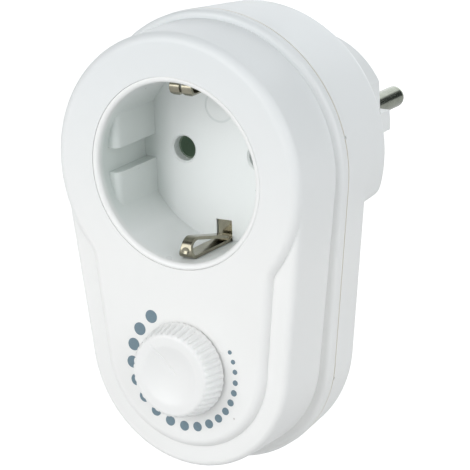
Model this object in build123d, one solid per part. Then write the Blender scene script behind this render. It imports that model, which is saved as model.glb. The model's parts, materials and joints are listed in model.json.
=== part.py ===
from build123d import *
import math
import os

# A plug-in lamp dimmer: an earthed mains plug at the back, a recessed earthed socket in front,
# and below the socket a turning knob with a scale of dots round it.
# Millimetres. The origin is the middle of the plug's end face, between the pins.
# X points right and Z up as seen from the front, and Y points away from the viewer, into the wall.
# Every "depth" is counted from the front plane towards the wall.

# Whole body
body_depth = 57.5
ledge_depth = 1.5
seam_depth = 17.5
flange_thickness = 2.5
step_depth = seam_depth - flange_thickness
back_step = 9.1
overrun = 1.0
assembly_gap = 0.1
solder_gap = 0.05
same_place = 0.001

# Levels from the well down to the knob axis: board edge, capacitor, potentiometer
board_edge_gap = 3.3
capacitor_inset = 1.2
capacitor_size = (17.5, 8.0, 10.5)
capacitor_pot_gap = 1.2
pot_radius = 8.1

# Outlines seen from the front, from the well outwards: rim, plate, shell and flange
well_radius = 19.4
rim_width = 1.3
rim_radius = well_radius + rim_width
shoulder_width = 0.7
shoulder_radius = rim_radius + shoulder_width
plate_border = 9.2
shell_top_radius = rim_radius + plate_border
board_top = -rim_radius - board_edge_gap
knob_drop = capacitor_inset + capacitor_size[1] + capacitor_pot_gap + pot_radius - board_top
low_arc_rise = 2.2
low_arc_drop = knob_drop - low_arc_rise
tongue_low_radius = 20.0
top_ledge_width = 5.3
low_ledge_width = 4.65
tongue_top_radius = shell_top_radius - top_ledge_width
shell_low_radius = tongue_low_radius + low_ledge_width
flange_width = 1.6
low_flange_width = 2.2
flange_top_radius = shell_top_radius + flange_width
flange_low_radius = shell_low_radius + low_flange_width

# Front shell
front_wall = 2.2
notch_fillet = 4.5
plate_edge_fillet = 2.1
ledge_edge_fillet = 1.4
flange_edge_fillet = 1.2
lip_height = 1.5
lip_thickness = 1.2
seam_gap = 0.25
seam_pip_width = 0.7
seam_pip_reach = 0.6
upper_pip_level = 6.85
lower_pip_drop = 3.9

# Socket well, a drop-in cup
well_depth = 18.0
floor_thickness = 2.5
rim_inner_fillet = 0.9
rim_outer_fillet = 0.25
rim_gap = 0.04
shoulder_thickness = 1.5
guide_thickness = 2.8
guide_flat = well_radius - guide_thickness
guide_front_depth = 3.7
guide_front_fillet = 1.5
guide_groove = 5.3
floor_mark_radius = 3.6
floor_mark_height = 10.3
floor_mark_width = 0.4
floor_mark_groove = 0.08
pin_spacing = 19.0
pin_radius = 2.4
entry_radius = 2.75
entry_bevel = 0.4
chamber_radius = 3.3
chamber_wall = 1.3
chamber_end_depth = 38.4
tab_slot_clearance = 0.3
tab_slot_run = 1.0

# Contacts behind the well
sleeve_radius = 2.45
sleeve_wall = 0.7
sleeve_slit = 0.5
sleeve_slit_share = 0.65
tab_width = 2.2
tab_thickness = 0.8
tab_depth = 30.0
tab_drop = 6.0
cover_thickness = 1.4
cover_height = 11.0
spigot_height = 0.8

# Earth strap with its spring clips: one below, and a forked one above
strap_thickness = 0.7
strap_width = 3.5
strap_pad_radius = 3.0
clip_wall_gap = 0.55
clip_wall_level = well_radius - clip_wall_gap
clip_leg_width = 2.4
clip_root_bend = 1.15
clip_nose_depth = 3.1
clip_nose_bend = 2.45
clip_slope_angle = 13.4
clip_end_depth = 17.0
clip_dimple_radius = 1.0
clip_dimple_depth = 0.3
finger_width = 2.4
finger_gap = 0.6
finger_nose_depth = 3.7
finger_nose_bend = 1.75
finger_slope_angle = 9.0
finger_tip_radius = 1.3
riser_setback = 0.35
clip_slot_margin = 0.2
clip_slot_height = 4.25
clip_slot_top = clip_wall_level - clip_slot_height

# Rear shell
rear_wall = 2.0
rear_draft = 6.6
low_back_fillet = 3.0
deep_back_fillet = 2.4
deep_floor = -11.6
deep_corner_fillet = 4.2
boss_radius = 18.4
boss_flat = 16.4
boss_rib_radius = 18.9
boss_rib_width = 4.5
boss_edge_fillet = 0.6
bulkhead_setback = 13.5
bulkhead_thickness = 2.0
contact_slot_width = 7.0
prop_radius = 1.8
prop_inset = 1.0
upper_prop_angle = 45.0
lower_prop_angle = -33.3

# Screws that close the housing, upper pair and lower one
post_radius = 2.5
upper_screw_reach = shoulder_radius + assembly_gap + post_radius
upper_screw_angle = 50.0
lower_screw_drop = 16.9
lower_screw_level = -knob_drop - lower_screw_drop
rear_post_radius = 3.3
pilot_radius = 1.1
screw_way_radius = 1.5
screw_head_radius = 2.5
screw_head_height = 1.8
head_seat_depth = 22.0
screw_bottom_depth = 8.0
screw_slot = 0.7
head_clearance = 0.3
screw_fit = 0.05

# Plug
pin_length = 19.4
pin_tip_fillet = 1.9
pin_root_radius = 2.7
pin_flange_radius = 3.3
pin_flange_thickness = 1.8
pin_tail_radius = 1.5
pin_tail_length = 2.5
plug_land_level = 16.2
plug_strap_width = 5.0
plug_strap_thickness = 0.8
plug_strap_end_depth = 56.7
insert_screw_x = 5.6
insert_screw_z = 9.6
insert_screw_length = 6.0
link_radius = 1.5
link_collar_radius = 2.4

# Knob and its potentiometer
knob_gap = 0.45
knob_height = 5.2
knob_base_radius = 10.35
knob_front_radius = 9.2
knob_edge_fillet = 1.2
knob_skirt = 1.9
knob_roof = 2.3
flute_count = 41
flute_radius = 0.6
flute_bite = 0.4
dish_radius = 6.5
dish_depth = 1.2
pointer_width = 0.5
pointer_bite = 0.15
pointer_length = 8.0
pointer_angle = 128.9
pointer_inset = 0.7
pointer_start = -0.5
sleeve_outer_radius = 4.6
sleeve_hole_clearance = 0.15
sleeve_pot_gap = 1.2
shaft_radius = 3.0
shaft_flat = 0.6
pot_wall = 0.8
pot_height = 6.6
pot_bush_radius = 4.4
pot_bush_length = 4.0
pot_board_gap = 0.8
track_thickness = 0.9
shaft_clearance = 0.05
rotor_radius = 6.6
rotor_gap = 0.2
wiper_thickness = 0.4
wiper_width = 2.0
wiper_gap = 0.1
terminal_width = 1.2
terminal_pitch = 5.0
terminal_thickness = 0.5

# Scale of dots round the knob, the largest at the pointer
dot_ring_radius = 12.92
first_dot_angle = 126.1
dot_turns = (
    0, 19.6, 37.7, 55.7, 73.5, 91.2, 108.8, 126.1, 142.1, 156.8,
    170.8, 183.7, 195.4, 206.5, 217.4, 227.9, 238.6, 248.4, 258.0,
)
dot_print_thickness = 0.06
dot_diameters = (
    2.87, 2.83, 2.78, 2.70, 2.60, 2.48, 2.38, 2.30, 2.20, 2.10,
    1.97, 1.80, 1.65, 1.53, 1.42, 1.23, 1.13, 1.04, 0.94,
)

# Circuit board and what stands on it
board_thickness = 1.5
board_margin = 0.6
board_post_x = 19.5
board_post_inset = 3.5
board_post_z = board_top - board_post_inset
board_post_radius = 2.4
board_notch_radius = 3.9
board_screw_radius = 1.0
board_screw_head_radius = 1.9
board_screw_head_height = 1.3
board_screw_length = 6.0
lead_radius = 0.35

capacitor_x = -7.5
capacitor_edge_fillet = 0.6
timing_size = (7.2, 3.0, 7.5)
timing_x = 8.2
timing_edge_fillet = 0.4

choke_pot_gap = 0.6
choke_flange_radius = 5.2
choke_core_radius = 2.4
choke_flange_thickness = 1.4
choke_length = 17.0
choke_winding_radius = 4.4
choke_front_gap = 3.9
choke_x = -pot_radius - choke_pot_gap - choke_flange_radius

fuse_pot_gap = 3.3
fuse_axis_rise = 4.4
fuse_radius = 2.6
fuse_wall = 0.7
fuse_length = 20.0
fuse_cap_length = 5.2
fuse_cap_wall = 0.3
fuse_clip_width = 6.8
fuse_clip_length = 4.0
fuse_clip_wall = 0.5
fuse_clip_rise = 1.4
fuse_x = pot_radius + fuse_pot_gap + fuse_clip_width / 2

resistor_radius = 1.15
resistor_length = 6.3
resistor_places = ((-8.0, 11.1), (8.0, 11.1), (-8.6, 14.5))
axial_lead_reach = 1.8
axial_edge_share = 0.25
diac_radius = 1.0
diac_length = 4.2
diac_place = (8.6, 14.5)

triac_size = (10.0, 9.2, 4.2)
triac_rise = 6.5
triac_top = -knob_drop + triac_rise
triac_tab_height = 6.4
triac_tab_thickness = 1.3
triac_standoff = 0.3
triac_edge_fillet = 0.4
triac_lead_share = 0.33
triac_hole_radius = 1.8
triac_lead_pitch = 2.54
triac_lead_drop = 1.8
sink_size = (30.0, 22.0, 1.2)
sink_rise = 12.5
sink_top = -knob_drop + sink_rise
sink_corner_fillet = 2.0
sink_screw_radius = 1.5
sink_screw_head_radius = 2.7
sink_screw_head_height = 1.2
sink_nut_radius = 2.9
sink_nut_height = 1.5
sink_back_gap = 0.5

# Internal leads: where they start, pass the well's edge and end, and the radius of each bend
wire_radius = 1.0
wire_board_inset = 2.6
wire_board_rise = 4.3
wire_bends = (4.0, 4.0, 4.0, 2.6)
live_in_x = (-9.85, -11.5, -12.2, -12.1, -12.0)
live_in_start = -1.51
live_in_turn = -8.6
live_in_wall_gap = 0.2
live_out_x = (-9.5, -9.2, -8.2, -7.8, -7.5)
live_out_turn = 4.0


def at(depth):
    """Plane parallel to the front, at a depth behind it, seen from the front."""
    return Plane(origin=(0, depth - body_depth, 0), x_dir=(1, 0, 0), z_dir=(0, -1, 0))


def slab(outline, near, far):
    """An outline drawn as seen from the front, thickened between two depths."""
    return extrude(at(far) * outline, amount=far - near)


def taper(near_outline, far_outline, near, far):
    """A solid whose walls run straight from one outline to the other."""
    return loft([at(near) * near_outline, at(far) * far_outline], ruled=True)


def rod(radius, near, far, x=0, z=0):
    """A round bar along the depth."""
    return slab(Pos(x, z) * Circle(radius), near, far)


def block(width, height, near, far, x=0, z=0):
    """A square bar along the depth."""
    return slab(Pos(x, z) * Rectangle(width, height), near, far)


def pear(top_radius, low_radius):
    """Outline of the housing: an arc round the socket axis and one below, joined by their tangents."""
    lean = math.asin((top_radius - low_radius) / low_arc_drop)
    side_x, side_z = math.cos(lean), -math.sin(lean)
    top_right = (top_radius * side_x, top_radius * side_z)
    low_right = (low_radius * side_x, low_radius * side_z - low_arc_drop)
    top_left = (-top_right[0], top_right[1])
    low_left = (-low_right[0], low_right[1])
    edges = [
        ThreePointArc(top_right, (0, top_radius), top_left),
        Line(top_left, low_left),
        ThreePointArc(low_left, (0, -low_arc_drop - low_radius), low_right),
        Line(low_right, top_right),
    ]
    return make_face(Wire(edges))


def keyhole(inset):
    """Outline of the raised front plate: the big round and a narrower tongue below it."""
    radius = shell_top_radius - inset
    outline = Circle(radius) + pear(tongue_top_radius - inset, tongue_low_radius - inset)
    corners = [
        v for v in outline.vertices()
        if v.Y < 0 and abs(math.hypot(v.X, v.Y) - radius) < same_place
    ]
    return fillet(corners, radius=notch_fillet + inset)


def in_plane(shape, depth):
    """True for a face or an edge that lies wholly in the plane at a depth."""
    level = depth - body_depth
    box = shape.bounding_box()
    return abs(box.min.Y - level) < same_place and abs(box.max.Y - level) < same_place


def edges_at(solid, depth):
    """Edges that lie wholly in the plane at a depth."""
    return ShapeList([e for e in solid.edges() if in_plane(e, depth)])


def outer_loop(solid, depth):
    """Outer boundary of the flat face at a depth."""
    faces = ShapeList([f for f in solid.faces() if in_plane(f, depth)])
    return faces.sort_by(SortBy.AREA)[-1].outer_wire().edges()


def keep(name, shape):
    """Write one named piece."""
    export_step(shape, f"parts/{name}.step")
    return shape


def group(solids):
    """Several separate solids that are one named piece."""
    return Compound(children=[s.solid() if isinstance(s, Part) else s for s in solids])


def upper_screw_places():
    lean = math.radians(upper_screw_angle)
    x, z = upper_screw_reach * math.cos(lean), upper_screw_reach * math.sin(lean)
    return [(-x, z), (x, z)]


def screw_places():
    return upper_screw_places() + [(0, lower_screw_level)]


pin_x = pin_spacing / 2
floor_back_depth = well_depth + floor_thickness
board_depth = ledge_depth + front_wall + choke_front_gap + 2 * choke_flange_radius
board_back_depth = board_depth + board_thickness
triac_near = board_back_depth + triac_standoff
triac_far = triac_near + triac_size[2]
sink_far = triac_far + sink_size[2]
low_back_depth = sink_far + sink_screw_head_height + sink_back_gap + rear_wall
deep_back_depth = low_back_depth + back_step
bulkhead_depth = body_depth - bulkhead_setback
insert_depth = bulkhead_depth + bulkhead_thickness
pin_tail_depth = bulkhead_depth - pin_tail_length
fuse_axis_depth = board_depth - fuse_axis_rise
pot_back_depth = board_depth - pot_board_gap
pot_front_depth = pot_back_depth - pot_height
pot_bush_depth = pot_front_depth - pot_bush_length
sleeve_end_depth = pot_bush_depth - sleeve_pot_gap
rotor_near = pot_front_depth + pot_wall + rotor_gap
track_near = pot_back_depth - track_thickness
wiper_far = track_near - wiper_gap
wiper_near = wiper_far - wiper_thickness
dish_ball_radius = (dish_radius**2 + dish_depth**2) / (2 * dish_depth)
sleeve_near = floor_back_depth + solder_gap
sleeve_far = chamber_end_depth - spigot_height - assembly_gap


def front_shell():
    plate = slab(keyhole(0), 0, ledge_depth + ledge_edge_fillet + overrun)
    plate = fillet(edges_at(plate, 0), plate_edge_fillet)
    skirt = slab(pear(shell_top_radius, shell_low_radius), ledge_depth, seam_depth)
    skirt = fillet(edges_at(skirt, ledge_depth), ledge_edge_fillet)
    flange = slab(pear(flange_top_radius, flange_low_radius), step_depth, seam_depth)
    flange = fillet(edges_at(flange, step_depth), flange_edge_fillet)
    shell = plate + skirt + flange
    inner_top, inner_low = shell_top_radius - front_wall, shell_low_radius - front_wall
    lip = pear(inner_top + lip_thickness, inner_low + lip_thickness)
    shell += slab(lip, seam_depth - overrun, seam_depth + lip_height)
    for x, z in screw_places():
        shell -= rod(post_radius + assembly_gap, seam_depth, seam_depth + lip_height + overrun, x, z)
    room = slab(keyhole(front_wall), front_wall, ledge_depth + front_wall + overrun)
    room += slab(pear(inner_top, inner_low), ledge_depth + front_wall, seam_depth + lip_height + overrun)
    for x, z in screw_places():
        room -= rod(post_radius, 0, seam_depth, x, z)
    for side in (-1, 1):
        room -= rod(board_post_radius, 0, board_depth, side * board_post_x, board_post_z)
    shell -= room
    for x, z in screw_places():
        shell -= rod(pilot_radius, screw_bottom_depth - overrun, seam_depth + overrun, x, z)
    pilot_end = board_depth - board_screw_length
    for side in (-1, 1):
        x = side * board_post_x
        shell -= rod(board_screw_radius, pilot_end, board_depth + overrun, x, board_post_z)
    shell -= rod(rim_radius + rim_gap, -overrun, front_wall + overrun)
    knob_way = sleeve_outer_radius + sleeve_hole_clearance
    shell -= rod(knob_way, -overrun, front_wall + overrun, 0, -knob_drop)
    return shell


def guide_blocks():
    """Flat blocks on the left and right wall of the well, each split by a groove."""
    strip = Circle(well_radius + assembly_gap) - Rectangle(2 * guide_flat, 2 * rim_radius)
    blocks = slab(strip, guide_front_depth, well_depth + overrun)
    front_edges = [
        e for e in edges_at(blocks, guide_front_depth)
        if abs(abs(e.center().X) - guide_flat) < assembly_gap
    ]
    blocks = fillet(front_edges, guide_front_fillet)
    groove = Circle(well_radius) & Rectangle(2 * rim_radius, guide_groove)
    return blocks - slab(groove, 0, well_depth)


def socket_insert():
    cup = rod(rim_radius, 0, floor_back_depth)
    cup -= rod(well_radius, -overrun, well_depth)
    rims = edges_at(cup, 0).sort_by(SortBy.RADIUS)
    cup = fillet(rims[0], rim_inner_fillet)
    cup = fillet(edges_at(cup, 0).sort_by(SortBy.RADIUS)[-1], rim_outer_fillet)
    shoulder_front = front_wall + solder_gap
    cup += rod(shoulder_radius, shoulder_front, shoulder_front + shoulder_thickness) - rod(
        rim_radius - assembly_gap, 0, well_depth
    )
    cup += guide_blocks()
    for side in (-1, 1):
        x = side * pin_x
        cup -= rod(entry_radius, well_depth - overrun, floor_back_depth + overrun, x)
        cup -= taper(
            Pos(x, 0) * Circle(entry_radius + entry_bevel), Pos(x, 0) * Circle(entry_radius),
            well_depth, well_depth + entry_bevel,
        )
    slot_low = clip_wall_level + strap_thickness
    slot_height = slot_low - clip_slot_top
    slot_level = (slot_low + clip_slot_top) / 2
    fork_width = 2 * finger_width + finger_gap
    for width, level in ((strap_width, -slot_level), (fork_width, slot_level)):
        way = slab(
            Circle(well_radius) & (Pos(0, level) * Rectangle(width + 2 * clip_slot_margin, slot_height)),
            well_depth - overrun, floor_back_depth + overrun,
        )
        cup -= way
    mark = Circle(floor_mark_radius) - Circle(floor_mark_radius - floor_mark_width)
    cup -= slab(Pos(0, floor_mark_height) * mark, well_depth - overrun, well_depth + floor_mark_groove)
    return cup


def contact_chambers():
    """Tubes that hold the contacts between the well's floor and the cover, slotted for the tabs."""
    near = floor_back_depth + solder_gap
    chambers = []
    for side in (-1, 1):
        x = side * pin_x
        tube = rod(chamber_radius + chamber_wall, near, chamber_end_depth, x)
        tube -= rod(chamber_radius, near - overrun, chamber_end_depth + overrun, x)
        slot_width = tab_width + 2 * tab_slot_clearance
        slot_start = tab_depth - tab_slot_run
        slot_level = -chamber_radius / 2 - tab_drop / 2
        chambers.append(tube - block(
            slot_width, tab_drop, slot_start, chamber_end_depth + overrun, x, slot_level
        ))
    return group(chambers)


def contact(side):
    """Split brass sleeve that takes one plug pin, with a tab through the chamber's slot."""
    x = side * pin_x
    sleeve = rod(sleeve_radius + sleeve_wall, sleeve_near, sleeve_far, x)
    sleeve += block(tab_width, tab_drop, tab_depth, tab_depth + tab_thickness, x, -tab_drop / 2)
    sleeve -= rod(sleeve_radius, sleeve_near - overrun, sleeve_far + overrun, x)
    slit_end = sleeve_near + (sleeve_far - sleeve_near) * sleeve_slit_share
    return sleeve - block(
        sleeve_slit, 2 * chamber_radius, sleeve_near - overrun, slit_end, x, chamber_radius
    )


def contact_cover():
    """Cap over both contact chambers, with a round spigot in each that stops the sleeve."""
    width = pin_spacing + 2 * (chamber_radius + chamber_wall)
    plate = slab(
        RectangleRounded(width, cover_height, chamber_radius),
        chamber_end_depth, chamber_end_depth + cover_thickness,
    )
    for side in (-1, 1):
        spigot_near = chamber_end_depth - spigot_height
        plate += rod(chamber_radius - assembly_gap, spigot_near, chamber_end_depth + overrun, side * pin_x)
    cover_far = chamber_end_depth + cover_thickness
    return plate - rod(link_radius + assembly_gap, chamber_end_depth - overrun, cover_far + overrun)


def clip_profile(level_sign, nose_depth, nose_bend, slope_angle):
    """Side view of a spring clip: along the wall, round a nose of two arcs, and back to the floor."""
    lean = math.radians(slope_angle)
    half = strap_thickness / 2
    nose_level = clip_wall_level - clip_root_bend

    def loop_side(offset):
        """Points of the strip's centre line moved outwards by an offset."""
        root, tip = clip_root_bend + offset, nose_bend + offset
        root_depth, tip_depth = nose_depth + clip_root_bend, nose_depth + nose_bend
        slant = math.cos(math.pi / 4)
        foot = (root_depth, nose_level + root)
        root_middle = (root_depth - root * slant, nose_level + root * slant)
        nose = (nose_depth - offset, nose_level)
        tip_middle = (tip_depth - tip * slant, nose_level - tip * slant)
        crest = (tip_depth + tip * math.sin(lean), nose_level - tip * math.cos(lean))
        drop = (clip_end_depth - crest[0]) * math.tan(lean)
        end = (clip_end_depth, crest[1] + drop)
        points = (foot, root_middle, nose, tip_middle, crest, end)
        return [(depth, -level_sign * level) for depth, level in points]

    outer, inner = loop_side(half), loop_side(-half)
    back_depth = floor_back_depth + strap_thickness
    outer_root, inner_root = (back_depth, outer[0][1]), (back_depth, inner[0][1])
    edges = [
        Line(outer_root, outer[0]),
        ThreePointArc(*outer[0:3]),
        ThreePointArc(*outer[2:5]),
        Line(outer[4], outer[5]),
        Line(outer[5], inner[5]),
        Line(inner[5], inner[4]),
        ThreePointArc(inner[4], inner[3], inner[2]),
        ThreePointArc(inner[2], inner[1], inner[0]),
        Line(inner[0], inner_root),
        Line(inner_root, outer_root),
    ]
    return make_face(Wire(edges))


def clip(profile, width, x=0):
    """One clip finger of a given width, centred at x."""
    side_plane = Plane(origin=(x - width / 2, -body_depth, 0), x_dir=(0, 1, 0), z_dir=(1, 0, 0))
    return extrude(side_plane * profile, amount=width)


def lower_clip():
    """The lower clip, whose returning leg is narrower than the leg on the wall."""
    strip = clip(clip_profile(1, clip_nose_depth, clip_nose_bend, clip_slope_angle), strap_width)
    nose_level = clip_wall_level - clip_root_bend
    reach = strap_width + nose_level
    for side in (-1, 1):
        wall_side, leg_side = side * strap_width / 2, side * clip_leg_width / 2
        beyond = side * strap_width
        foot_level = nose_level + strap_thickness
        shoulder = nose_level - clip_nose_bend / 2
        trim = Polyline(
            (wall_side, -foot_level), (beyond, -foot_level), (beyond, reach - foot_level),
            (leg_side, reach - foot_level), (leg_side, -shoulder), close=True,
        )
        strip -= slab(make_face(trim), 0, clip_end_depth + overrun)
    sphere_radius = (clip_dimple_radius**2 + clip_dimple_depth**2) / (2 * clip_dimple_depth)
    surface_depth = clip_nose_depth - strap_thickness / 2
    centre_depth = surface_depth + clip_dimple_depth - sphere_radius
    centre_level = -nose_level + clip_dimple_radius / 2
    return strip - Pos(0, centre_depth - body_depth, centre_level) * Sphere(sphere_radius)


def upper_clip():
    """The forked clip, whose two fingers have round lower outlines as seen from the front."""
    finger = clip_profile(-1, finger_nose_depth, finger_nose_bend, finger_slope_angle)
    lowest = clip_wall_level - clip_root_bend - finger_nose_bend - strap_thickness / 2
    tip_level = lowest + finger_tip_radius
    fingers = []
    for side in (-1, 1):
        x = side * (finger_width + finger_gap) / 2
        outline = Pos(x, tip_level) * Circle(finger_tip_radius)
        outline += Pos(x, tip_level + well_radius / 2) * Rectangle(finger_width, well_radius)
        fingers.append(clip(finger, finger_width, x) & slab(outline, 0, floor_back_depth + strap_thickness))
    return fingers


def earth_strap():
    """Strap behind the well's floor with its clips, which stand into the well."""
    length = 2 * (clip_wall_level + strap_thickness / 2)
    near, far = floor_back_depth, floor_back_depth + strap_thickness
    strap = block(strap_width, length, near, far) + rod(strap_pad_radius, near, far)
    fork_width = 2 * finger_width + finger_gap
    yoke_height = clip_wall_level - clip_slot_top
    strap += block(fork_width, yoke_height, near, far, 0, (length - yoke_height) / 2)
    strap += lower_clip()
    for finger in upper_clip():
        strap += finger
    riser_near = well_depth + riser_setback
    riser_height = clip_wall_level - clip_slot_top - assembly_gap
    riser_level = riser_height / 2 - clip_wall_level
    return strap + block(strap_width, riser_height, riser_near, riser_near + strap_thickness, 0, riser_level)


def boss_outline(wall):
    """Round plug body with flat sides, and a rib on each flat when it is the outer outline."""
    outline = Circle(boss_radius - wall) & Rectangle(2 * (boss_flat - wall), 2 * boss_radius)
    if wall == 0:
        return outline + (Circle(boss_rib_radius) & Rectangle(2 * boss_rib_radius, boss_rib_width))
    slot_floor = plug_land_level + plug_strap_thickness - rear_wall
    return outline & Rectangle(2 * boss_radius, 2 * slot_floor)


def rear_shell():
    lean = math.tan(math.radians(rear_draft))
    near = seam_depth + seam_gap
    low_run, deep_run = low_back_depth - near, deep_back_depth - near
    low = taper(
        pear(flange_top_radius, flange_low_radius),
        pear(flange_top_radius - low_run * lean, flange_low_radius - low_run * lean),
        near, low_back_depth,
    )
    low = fillet(outer_loop(low, low_back_depth), low_back_fillet)
    deep = taper(
        Circle(flange_top_radius), Circle(flange_top_radius - deep_run * lean), near, deep_back_depth
    )
    below = flange_top_radius + overrun
    deep -= block(2 * below, below, near - overrun, deep_back_depth + overrun, 0, deep_floor - below / 2)
    corners = [
        e for e in deep.edges()
        if abs(e.center().Z - deep_floor) < assembly_gap and abs(e.center().X) > boss_radius
    ]
    deep = fillet(corners, deep_corner_fillet)
    deep = fillet(outer_loop(deep, deep_back_depth), deep_back_fillet)
    boss = slab(boss_outline(0), low_back_depth - rear_wall, body_depth)
    boss = fillet(edges_at(boss, body_depth), boss_edge_fillet)
    shell = low + deep + boss

    low_far = low_back_depth - rear_wall
    deep_far = deep_back_depth - rear_wall
    inner_top, inner_low = flange_top_radius - rear_wall, flange_low_radius - rear_wall
    low_room_run, deep_room_run = low_far - near, deep_far - near
    room = taper(
        pear(inner_top, inner_low),
        pear(inner_top - low_room_run * lean, inner_low - low_room_run * lean),
        near, low_far,
    )
    deep_room = taper(Circle(inner_top), Circle(inner_top - deep_room_run * lean), near, deep_far)
    deep_room -= block(
        2 * below, below, low_far, deep_back_depth, 0, deep_floor + rear_wall - below / 2
    )
    room += deep_room
    room += slab(boss_outline(rear_wall), low_far - overrun, bulkhead_depth)
    room += slab(boss_outline(rear_wall), insert_depth, body_depth + overrun)
    supports = []
    for x, z in screw_places():
        back = deep_back_depth if z > 0 else low_back_depth
        cup_clear_depth = floor_back_depth + assembly_gap
        supports.append(rod(post_radius, near - overrun, back - rear_wall / 2, x, z))
        supports.append(rod(rear_post_radius, cup_clear_depth, back - rear_wall / 2, x, z))
    for angle, far in ((upper_prop_angle, deep_far), (lower_prop_angle, low_far)):
        reach = well_radius - prop_inset
        x, z = reach * math.cos(math.radians(angle)), reach * math.sin(math.radians(angle))
        for side in (-1, 1):
            near_end = floor_back_depth + assembly_gap
            supports.append(rod(prop_radius, near_end, far + rear_wall / 2, side * x, z))
    for support in supports:
        room -= support
    shell -= room
    for x, z in screw_places():
        shell += rod(post_radius, seam_depth, near + overrun, x, z)

    for x, z in screw_places():
        shell -= rod(screw_way_radius, near - overrun, head_seat_depth + overrun, x, z)
        shell -= rod(screw_head_radius + head_clearance, head_seat_depth, deep_back_depth + overrun, x, z)
    for side in (-1, 1):
        tail_way = pin_tail_radius + head_clearance
        shell -= rod(tail_way, bulkhead_depth - overrun, insert_depth + overrun, side * pin_x)
        shell -= rod(screw_way_radius, bulkhead_depth - overrun, insert_depth + overrun,
                     side * insert_screw_x, side * insert_screw_z)
        slot_height = boss_radius
        shell -= block(contact_slot_width, slot_height, insert_depth, body_depth + overrun,
                       0, side * (plug_land_level - rear_wall + slot_height / 2))
    shell -= rod(link_radius + assembly_gap, bulkhead_depth - overrun, insert_depth + overrun)
    rim = pear(flange_top_radius + overrun, flange_low_radius + overrun)
    rim -= pear(flange_top_radius - seam_pip_reach, flange_low_radius - seam_pip_reach)
    whole_width = 2 * (flange_top_radius + overrun)
    for level in (upper_pip_level, -knob_drop - lower_pip_drop):
        pips = rim & (Pos(0, level) * Rectangle(whole_width, seam_pip_width))
        shell -= slab(pips, near - overrun, near + seam_pip_width)
    return shell


def plug_insert():
    """Face piece that carries the pins and the earth contacts of the plug."""
    outline = boss_outline(rear_wall + assembly_gap)
    outline += Rectangle(contact_slot_width - 2 * assembly_gap, 2 * plug_land_level)
    piece = slab(outline, insert_depth, body_depth)
    channel = plug_strap_thickness + solder_gap
    piece -= block(
        plug_strap_width + 2 * assembly_gap, 2 * boss_radius, insert_depth - overrun, insert_depth + channel
    )
    for side in (-1, 1):
        x = side * pin_x
        piece -= rod(pin_root_radius + solder_gap, insert_depth - overrun, body_depth + overrun, x)
        recess = pin_flange_thickness + solder_gap
        piece -= rod(pin_flange_radius + assembly_gap, insert_depth - overrun, insert_depth + recess, x)
        piece -= rod(pilot_radius, insert_depth - overrun, insert_depth + insert_screw_length,
                     side * insert_screw_x, side * insert_screw_z)
    return piece


def plug_pin(side):
    """One contact pin of the plug, with its root in the insert and its tail inside."""
    x = side * pin_x
    tip = body_depth + pin_length
    shank = rod(pin_radius, body_depth - overrun, tip, x)
    shank = fillet(edges_at(shank, tip), pin_tip_fillet)
    root = rod(pin_root_radius, insert_depth, body_depth, x)
    flange = rod(pin_flange_radius, insert_depth, insert_depth + pin_flange_thickness, x)
    tail = rod(pin_tail_radius, pin_tail_depth, insert_depth + overrun, x)
    return shank + root + flange + tail


def plug_earth_strap():
    """Earth contact strips on the top and bottom of the plug body, joined behind the insert."""
    near, far = insert_depth, insert_depth + plug_strap_thickness
    level = plug_land_level + solder_gap
    strap = block(plug_strap_width, 2 * (level + plug_strap_thickness), near, far)
    for side in (-1, 1):
        strap += block(plug_strap_width, plug_strap_thickness, near, plug_strap_end_depth,
                       0, side * (level + plug_strap_thickness / 2))
    return strap


def earth_link():
    """Stepped stud that joins both earth straps and holds the contact cover down."""
    near = floor_back_depth + strap_thickness
    stud = rod(link_radius, near, insert_depth)
    return stud + rod(link_collar_radius, chamber_end_depth + cover_thickness, bulkhead_depth)


def neutral_link():
    """Bent brass strip from the neutral contact's tab to an eye on the neutral pin's tail."""
    level = -tab_drop - tab_thickness / 2
    eye_depth = pin_tail_depth + tab_thickness
    eye_radius = pin_tail_radius + tab_thickness * 2
    strip = block(2 * eye_radius, tab_thickness, tab_depth, eye_depth + tab_thickness, pin_x, level)
    riser_height = tab_drop + tab_thickness
    eye_far = eye_depth + tab_thickness
    strip += block(2 * eye_radius, riser_height, eye_depth, eye_far, pin_x, -riser_height / 2)
    strip += rod(eye_radius, eye_depth, eye_far, pin_x)
    return strip - rod(pin_tail_radius + solder_gap, eye_depth - overrun, eye_far + overrun, pin_x)


def machine_screw(x, z, radius, head_radius, head_height, head_near, length, slot=screw_slot):
    """Screw driven from the back, its head towards the wall."""
    screw = rod(radius, head_near - length, head_near + solder_gap, x, z)
    screw += rod(head_radius, head_near, head_near + head_height, x, z)
    head_far = head_near + head_height
    width = 2 * head_radius + overrun
    cross = block(width, slot, head_near + head_height / 2, head_far + overrun, x, z)
    cross += block(slot, width, head_near + head_height / 2, head_far + overrun, x, z)
    return screw - (cross & rod(head_radius - slot, head_near, head_far + overrun, x, z))


def housing_screws():
    length = head_seat_depth - screw_bottom_depth
    return group([
        machine_screw(x, z, pilot_radius - screw_fit, screw_head_radius, screw_head_height,
                      head_seat_depth, length)
        for x, z in screw_places()
    ])


def plug_insert_screws():
    """Screws that hold the insert, driven from inside the housing."""
    screws = []
    for side in (-1, 1):
        x, z = side * insert_screw_x, side * insert_screw_z
        tip = insert_depth + insert_screw_length - overrun
        head_near = bulkhead_depth - screw_head_height
        screw = rod(pilot_radius - screw_fit, bulkhead_depth, tip, x, z)
        screw += rod(screw_head_radius, head_near, bulkhead_depth, x, z)
        notch = block(2 * (screw_head_radius - screw_slot), screw_slot, head_near - overrun,
                      head_near + screw_head_height / 2, x, z)
        screws.append(screw - notch)
    return group(screws)


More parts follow.
